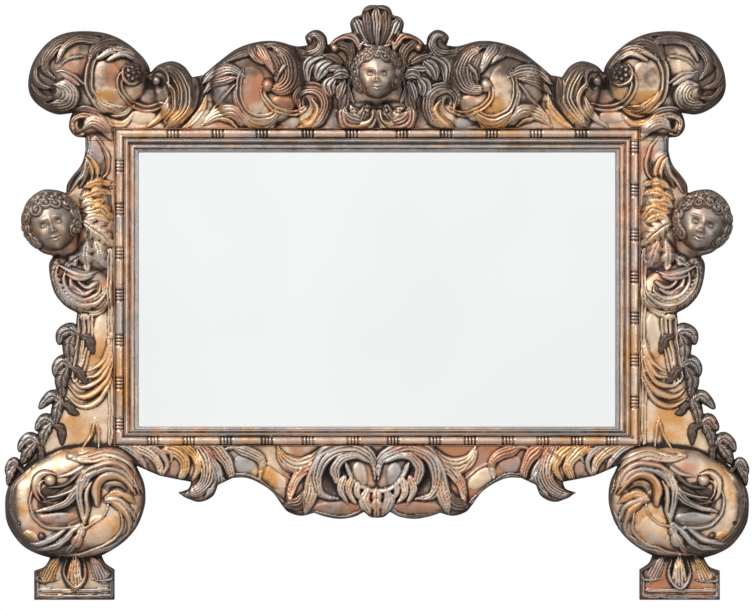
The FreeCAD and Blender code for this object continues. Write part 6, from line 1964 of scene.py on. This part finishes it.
@dataclass
class Sheets:
    """The six sheets of the frame, chased on one grid."""

    cell: float

    def build(self, material: Material) -> None:
        """Makes the sheets.

        Args:
            material: their finish.
        """
        grid = Grid(
            stations(-GRID_HALF, -FIELD_HALF, 0, FIELD_HALF, GRID_HALF, cell=self.cell),
            stations(GRID_FOOT, PLINTH_SEAM, FIELD_FOOT, SEAM, FIELD_TOP, GRID_TOP, cell=self.cell),
            self.cell,
        )
        for side in (1, -1):
            for panel in CARRIERS:
                grid.raise_panel(panel, side)
        grid.body = blurred(grid.body, 1.2 / self.cell)
        grid.height = np.maximum(grid.height, grid.body)
        for side in (1, -1):
            rng = np.random.default_rng(SEED)
            for area in (SIDE, FOOT, PLINTH, APRON, CORNER, HOOK, SECOND, CENTRE):
                grid.work(area, side, 0.0 if side == 1 else RIGHT_STRAY, rng)
        self._dirt_and_shade_in_recesses(grid)
        self._tint(grid)
        surface = Surface(grid, [whole_outline()])
        u, v = grid.u[:-1, :-1] + self.cell / 2, grid.v[:-1, :-1] + self.cell / 2
        field_cells = (np.abs(u) < FIELD_HALF) & (v > FIELD_FOOT) & (v < FIELD_TOP)
        mitre = APRON_SEAM - (v - APRON_BEND).clip(0, FIELD_FOOT - APRON_BEND)
        at_side = (v < SEAM) & ((np.abs(u) > FIELD_HALF) | ((v < FIELD_FOOT) & (np.abs(u) > mitre)))
        plinth = at_side & (v < PLINTH_SEAM)
        crest = ~field_cells & ~at_side & (v > FIELD_FOOT)
        apron = ~field_cells & ~at_side & (v < FIELD_FOOT)
        for name, node, region in (
            ("crest", "crest_sheet", crest),
            ("left_side", "left_side_sheet", at_side & ~plinth & (u < 0)),
            ("right_side", "right_side_sheet", at_side & ~plinth & (u > 0)),
            ("left_plinth", "left_plinth_sheet", plinth & (u < 0)),
            ("right_plinth", "right_plinth_sheet", plinth & (u > 0)),
            ("apron", "apron_sheet", apron),
        ):
            piece = surface.mesh(f"{name}_repousse", region, CORE_FRONT, material)
            LOG.info("%s has %d faces", piece.name, len(piece.data.polygons))
            dressed(piece, node)

    @staticmethod
    def _dirt_and_shade_in_recesses(grid: Grid) -> None:
        """Darkens the ground between raised work, with dirt where nothing rubs it and with painted shade in
        the recess.
        """
        soft = blurred(grid.height, 6.0 / grid.cell)
        sunk = clamped((soft - grid.height - 0.6) / 2.5)
        grid.line = np.maximum(grid.line, 0.8 * sunk)

    @staticmethod
    def _tint(grid: Grid) -> None:
        """Leans the colour of wide areas towards gold or silver, and towards the other tones in TINTS; the
        brown on outer rims is tarnish and painted shade.
        """
        for tone, strength, centre, reach in TINTS:
            for side in (1, -1):
                place = plane([centre], side)[0]
                far = ((grid.u - place[0]) / reach[0]) ** 2 + ((grid.v - place[1]) / reach[1]) ** 2
                grid.tint(EVERYWHERE, strength * np.exp(-(far**1.5)), tone)


def dressed(piece: Thing, node: str, body: str = "frame") -> None:
    """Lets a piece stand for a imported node.

    Args:
        piece: the piece.
        node: the node that it replaces.
        body: the body that it rides on.
    """
    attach(piece, body)
    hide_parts(node)


def add_mouldings(material: Material, cell: float) -> None:
    """The stepped sight moulding and the bead strips, mitred at the corners."""
    columns = {
        Strip.TOP: (173, 218, 262, 308, 352, 402, 446, 492, 536, 581),
        Strip.BOTTOM: (153, 189, 226, 267, 308, 353, 393, 435, 470, 508, 543, 577, 612),
    }
    rows = {
        Strip.LEFT: (166, 209, 253, 295, 340, 383, 424),
        Strip.RIGHT: (147, 190, 235, 277, 318, 360, 402),
    }
    reels = {strip: tuple(column - PIXEL_CENTRE for column in found) for strip, found in columns.items()}
    reels |= {strip: tuple(PIXEL_ZERO_ROW - row for row in found) for strip, found in rows.items()}
    for strip, rings in reels.items():
        sight = SIGHT_MOULDING.build(f"sight_{strip.value}", strip, material, cell * 2)
        dressed(sight, f"sight_moulding_{strip.value}")
        bead = BEAD_MOULDING.build(f"bead_{strip.value}", strip, material, cell * 0.7, rings)
        dressed(bead, f"bead_moulding_{strip.value}")


def add_applied(metal: Material, heads: Material, cell: float) -> None:
    """The heads, the wings, the shell and the garlands."""
    rings, spokes = HEAD
    for head in (
        CherubHead("crest_cherub", (377, 74), 27.0, 8.0, 0.80, 0.0, 1, 3),
        CherubHead("left_cherub", (52, 223), 30.5, 3.0, 0.84, 17.0, 1, 5),
        CherubHead("right_cherub", (52, 223), 30.5, 3.0, 0.84, 17.0, -1, 8),
    ):
        piece = head.build(heads, rings, spokes)
        dressed(piece, head.name.replace("cherub", "head"))
    dressed(SHELL.build("shell", 1, metal, cell, both=True), "crest_shell")
    leaves, feathers = garland(), wing()
    for side, name in ((1, "left"), (-1, "right")):
        dressed(feathers.build(f"{name}_feathers", side, metal, cell), f"{name}_wing")
        dressed(leaves.build(f"{name}_garland", side, metal, cell), f"{name}_leaf_garland")


@dataclass(frozen=True)
class Pins:
    """The pin heads that show on the mouldings and beside them, as one mesh.

    Attributes:
        name: the piece's name.
        places: their middles in pixels.
        radius: the radius of a head in mm.
        rise: how far a head stands out, in mm.
    """

    name: str
    places: Points
    radius: float = 1.9
    rise: float = 1.3

    def build(self, carriers: list[Thing], material: Material) -> Thing:
        """Makes the heads on whatever carries them.

        Args:
            carriers: the pieces that they are driven into.
            material: their finish.

        Returns:
            The new piece.
        """
        bpy.context.view_layer.update()
        graph = bpy.context.evaluated_depsgraph_get()
        points = []
        for column, row in self.places:
            across, up = (column - PIXEL_CENTRE) * MM, (PIXEL_ZERO_ROW - row) * MM
            start, ahead = (across, -1.0, up), (0.0, 1.0, 0.0)
            hits = [piece.ray_cast(start, ahead, depsgraph=graph) for piece in carriers]
            points.append((across, min(place.y for found, place, _, _ in hits if found), up))
        places = bpy.data.meshes.new(f"{self.name}_places")
        places.from_pydata(points, [], [])
        holder = bpy.data.objects.new(f"{self.name}_holder", places)
        bpy.context.scene.collection.objects.link(holder)
        group = self._tree(material)
        modifier = holder.modifiers.new("heads", "NODES")
        modifier.node_group = group
        items = group.interface.items_tree
        sockets = {item.name: item.identifier for item in items if item.in_out == "INPUT"}
        modifier[sockets["Radius"]] = self.radius * MM
        modifier[sockets["Rise"]] = self.rise * MM
        graph = bpy.context.evaluated_depsgraph_get()
        made = bpy.data.meshes.new_from_object(holder.evaluated_get(graph))
        holder.modifiers.remove(modifier)
        bpy.data.objects.remove(holder)
        bpy.data.meshes.remove(places)
        piece = bpy.data.objects.new(self.name, made)
        bpy.context.scene.collection.objects.link(piece)
        return piece

    @staticmethod
    def _tree(material: Material) -> bpy.types.NodeTree:
        """The node tree that puts a domed head on each point."""
        group = bpy.data.node_groups.new("pin_heads", "GeometryNodeTree")
        for name, kind in (
            ("Geometry", "NodeSocketGeometry"), ("Radius", "NodeSocketFloat"), ("Rise", "NodeSocketFloat"),
        ):
            group.interface.new_socket(name=name, in_out="INPUT", socket_type=kind)
        group.interface.new_socket(name="Geometry", in_out="OUTPUT", socket_type="NodeSocketGeometry")
        tree = NodeTree(group)
        inputs = tree.add("NodeGroupInput").outputs
        ball = tree.add("GeometryNodeMeshUVSphere", {"Segments": 20, "Rings": 12, "Radius": 1.0})
        ball = tree.add("GeometryNodeSetShadeSmooth", {"Geometry": ball.outputs["Mesh"]}).outputs[0]
        share = tree.add("FunctionNodeRandomValue", {2: 0.88, 3: 1.08, "Seed": SEED}, data_type="FLOAT")
        wide = tree.times(inputs["Radius"], share.outputs[1])
        scale = tree.add("ShaderNodeCombineXYZ", {"X": wide, "Y": inputs["Rise"], "Z": wide}).outputs[0]
        heads = tree.add(
            "GeometryNodeInstanceOnPoints", {"Points": inputs["Geometry"], "Instance": ball, "Scale": scale}
        ).outputs[0]
        heads = tree.add("GeometryNodeRealizeInstances", {"Geometry": heads}).outputs[0]
        heads = tree.add("GeometryNodeSetMaterial", {"Geometry": heads, "Material": material}).outputs[0]
        tree.link(heads, tree.add("NodeGroupOutput").inputs["Geometry"])
        return group


PINS = Pins(
    "pin_heads",
    [(271.5, 436), (125, 356), (478, 445), (632, 437), (638, 437), (635, 444), (111, 182), (115, 185),
     (111, 188), (20, 523)],
)


def add_pins() -> None:
    """The pins that show, driven through the strips and the sheets."""
    names = [f"{kind}_{strip.value}" for kind in ("sight", "bead") for strip in Strip]
    carriers = [
        piece for piece in bpy.data.objects if piece.name in names or piece.name.endswith("_repousse")
    ]
    dark_brass = Plain("pin_brass", colour(0.30, 0.19, 0.12), 0.35, 1.0, 0.4).material()
    piece = PINS.build(carriers, dark_brass)
    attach(piece, "frame")


def finish_packed_nodes(nodes: dict[str, Thing]) -> None:
    """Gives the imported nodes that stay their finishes.

    Args:
        nodes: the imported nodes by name.
    """
    light, dark, nut = colour(0.40, 0.25, 0.13), colour(0.23, 0.13, 0.06), colour(0.30, 0.18, 0.09)
    board_along = Wood("core_wood_level", light, dark, (0.25, 3.0, 3.0)).material()
    board_up = Wood("core_wood_upright", light, dark, (3.0, 3.0, 0.25)).material()
    panel = Wood("backing_wood", colour(0.46, 0.31, 0.18), nut, (0.3, 3.0, 4.0)).material()
    peg = Wood("peg_wood", nut, colour(0.18, 0.10, 0.05), (3.0, 0.3, 3.0)).material()
    card = Plain("packing_board", colour(0.42, 0.37, 0.29), 0.9).material()
    glass = SilveredGlass().material()
    brass = Plain("hardware_brass", colour(0.76, 0.54, 0.23), 0.38, 1.0, 0.35).material()
    steel = Plain("screw_steel", colour(0.36, 0.34, 0.32), 0.42, 1.0, 0.4, 200.0).material()
    finishes = {
        "core_top_rail": board_along, "core_bottom_rail": board_along, "core_left_stile": board_up,
        "core_right_stile": board_up, "lap_pegs": peg, "packing_sheet": card, "back_panel": panel,
        "mirror_glass": glass, "strap_screws": steel, "turn_button_screws": steel,
    }
    for name, node in nodes.items():
        if name.startswith(("left_strap", "right_strap", "left_ring", "right_ring", "turn_button_")):
            finishes.setdefault(name, brass)
    for name, material in finishes.items():
        for slot in nodes[name].material_slots:
            slot.link = "OBJECT"
            slot.material = material


def light_scene() -> None:
    """A white surround, two soft lamps from the upper left and a floor that keeps the shadow."""
    scene = bpy.context.scene
    world = bpy.data.worlds.new("surround")
    scene.world = world
    world.use_nodes = True
    tree = NodeTree(world.node_tree)
    world.node_tree.nodes.clear()
    path = tree.add("ShaderNodeLightPath").outputs
    way = tree.add("ShaderNodeSeparateXYZ", {0: tree.add("ShaderNodeTexCoord").outputs["Generated"]}).outputs
    ahead = tree.ramp(tree.times(way[1], -1.0), 0.1, 0.95)
    above = tree.ramp(way[2], -0.5, 0.7)
    left = tree.ramp(tree.times(way[0], -1.0), -0.6, 0.8)
    shade = tree.scaled(ahead, 0.45, 0.12)
    shade = tree.scaled(above, 0.36, shade)
    shade = tree.scaled(left, 0.14, shade)
    limits = {"Value": tree.times(way[1], -1.0), "From Min": 0.97, "From Max": 0.992}
    card = tree.add("ShaderNodeMapRange", limits).outputs[0]
    shade = tree.scaled(card, 0.3, shade)
    shown = tree.add("ShaderNodeCombineColor", {0: shade, 1: shade, 2: shade}).outputs[0]
    open_sky, mirrored, white = (
        tree.add("ShaderNodeBackground", {"Color": shine, "Strength": strength}).outputs[0]
        for shine, strength in ((colour(0.9, 0.93, 1.0), 0.35), (shown, 1.0), (colour(1, 1, 1), 1.0))
    )
    through = tree.math("MAXIMUM", path["Is Glossy Ray"], path["Is Transmission Ray"])
    lit = tree.add("ShaderNodeMixShader", {0: through, 1: open_sky, 2: mirrored}).outputs[0]
    all_rays = tree.add("ShaderNodeMixShader", {0: path["Is Camera Ray"], 1: lit, 2: white}).outputs[0]
    tree.link(all_rays, tree.add("ShaderNodeOutputWorld").inputs[0])
    for name, place, aim, size, power in (
        ("key", (-1.6, -2.2, 1.7), (0.0, 0.0, -0.2), 1.3, 60.0),
        ("fill", (1.9, -2.6, 0.4), (0.0, 0.0, -0.2), 1.6, 14.0),
    ):
        light = bpy.data.lights.new(name, "AREA")
        light.size = size
        light.energy = power
        lamp = bpy.data.objects.new(name, light)
        lamp.location = place
        lamp.rotation_euler = (Vector3(aim) - Vector3(place)).to_track_quat("-Z", "Y").to_euler()
        scene.collection.objects.link(lamp)
    corners = [(-1600, -1300, -900), (1600, -1300, -900), (1600, 500, -900), (-1600, 500, -900)]
    floor_white = Plain("floor_white", colour(0.82, 0.82, 0.81), 0.8, 0.0, 0.02).material()
    floor = made_mesh(
        "floor", np.array(corners, dtype=float), np.array([(0, 1, 2, 3)]), {}, floor_white, smooth=False
    )


def add_camera() -> None:
    """A camera straight ahead at six metres, framed as the photograph is."""
    scene = bpy.context.scene
    lens = bpy.data.cameras.new("camera")
    lens.sensor_width = 36.0
    lens.lens = lens.sensor_width * CAMERA_AWAY / (PHOTO_WIDTH * MM)
    lens.clip_end = 100.0
    camera = bpy.data.objects.new("camera", lens)
    across, up = (PHOTO_WIDTH / 2 - PIXEL_CENTRE) * MM, (PIXEL_ZERO_ROW - PHOTO_HEIGHT / 2) * MM
    camera.location = (across, GROUND * MM - CAMERA_AWAY, up)
    camera.rotation_euler = (math.pi / 2, 0.0, 0.0)
    scene.collection.objects.link(camera)
    scene.camera = camera


def main() -> None:
    """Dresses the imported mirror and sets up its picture."""
    logging.basicConfig(level=logging.INFO)
    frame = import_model()
    cell = CELL
    group = worn_metal_group()
    sheet_metal = WornMetal("sheet_metal").material(group)
    moulding_metal = WornMetal(
        "moulding_metal", colour(0.68, 0.40, 0.28), colour(0.82, 0.60, 0.45), hollow_dirt_and_shade=0.9, polish=0.28
    ).material(group)
    head_metal = WornMetal("head_metal", silver=colour(0.38, 0.33, 0.29)).material(group)
    finish_packed_nodes(frame["nodes"])
    Sheets(cell).build(sheet_metal)
    add_mouldings(moulding_metal, cell)
    add_applied(sheet_metal, head_metal, cell * 0.75)
    add_pins()
    light_scene()
    add_camera()
    bpy.context.scene.view_settings.view_transform = "Standard"


if __name__ == "__main__":
    main()
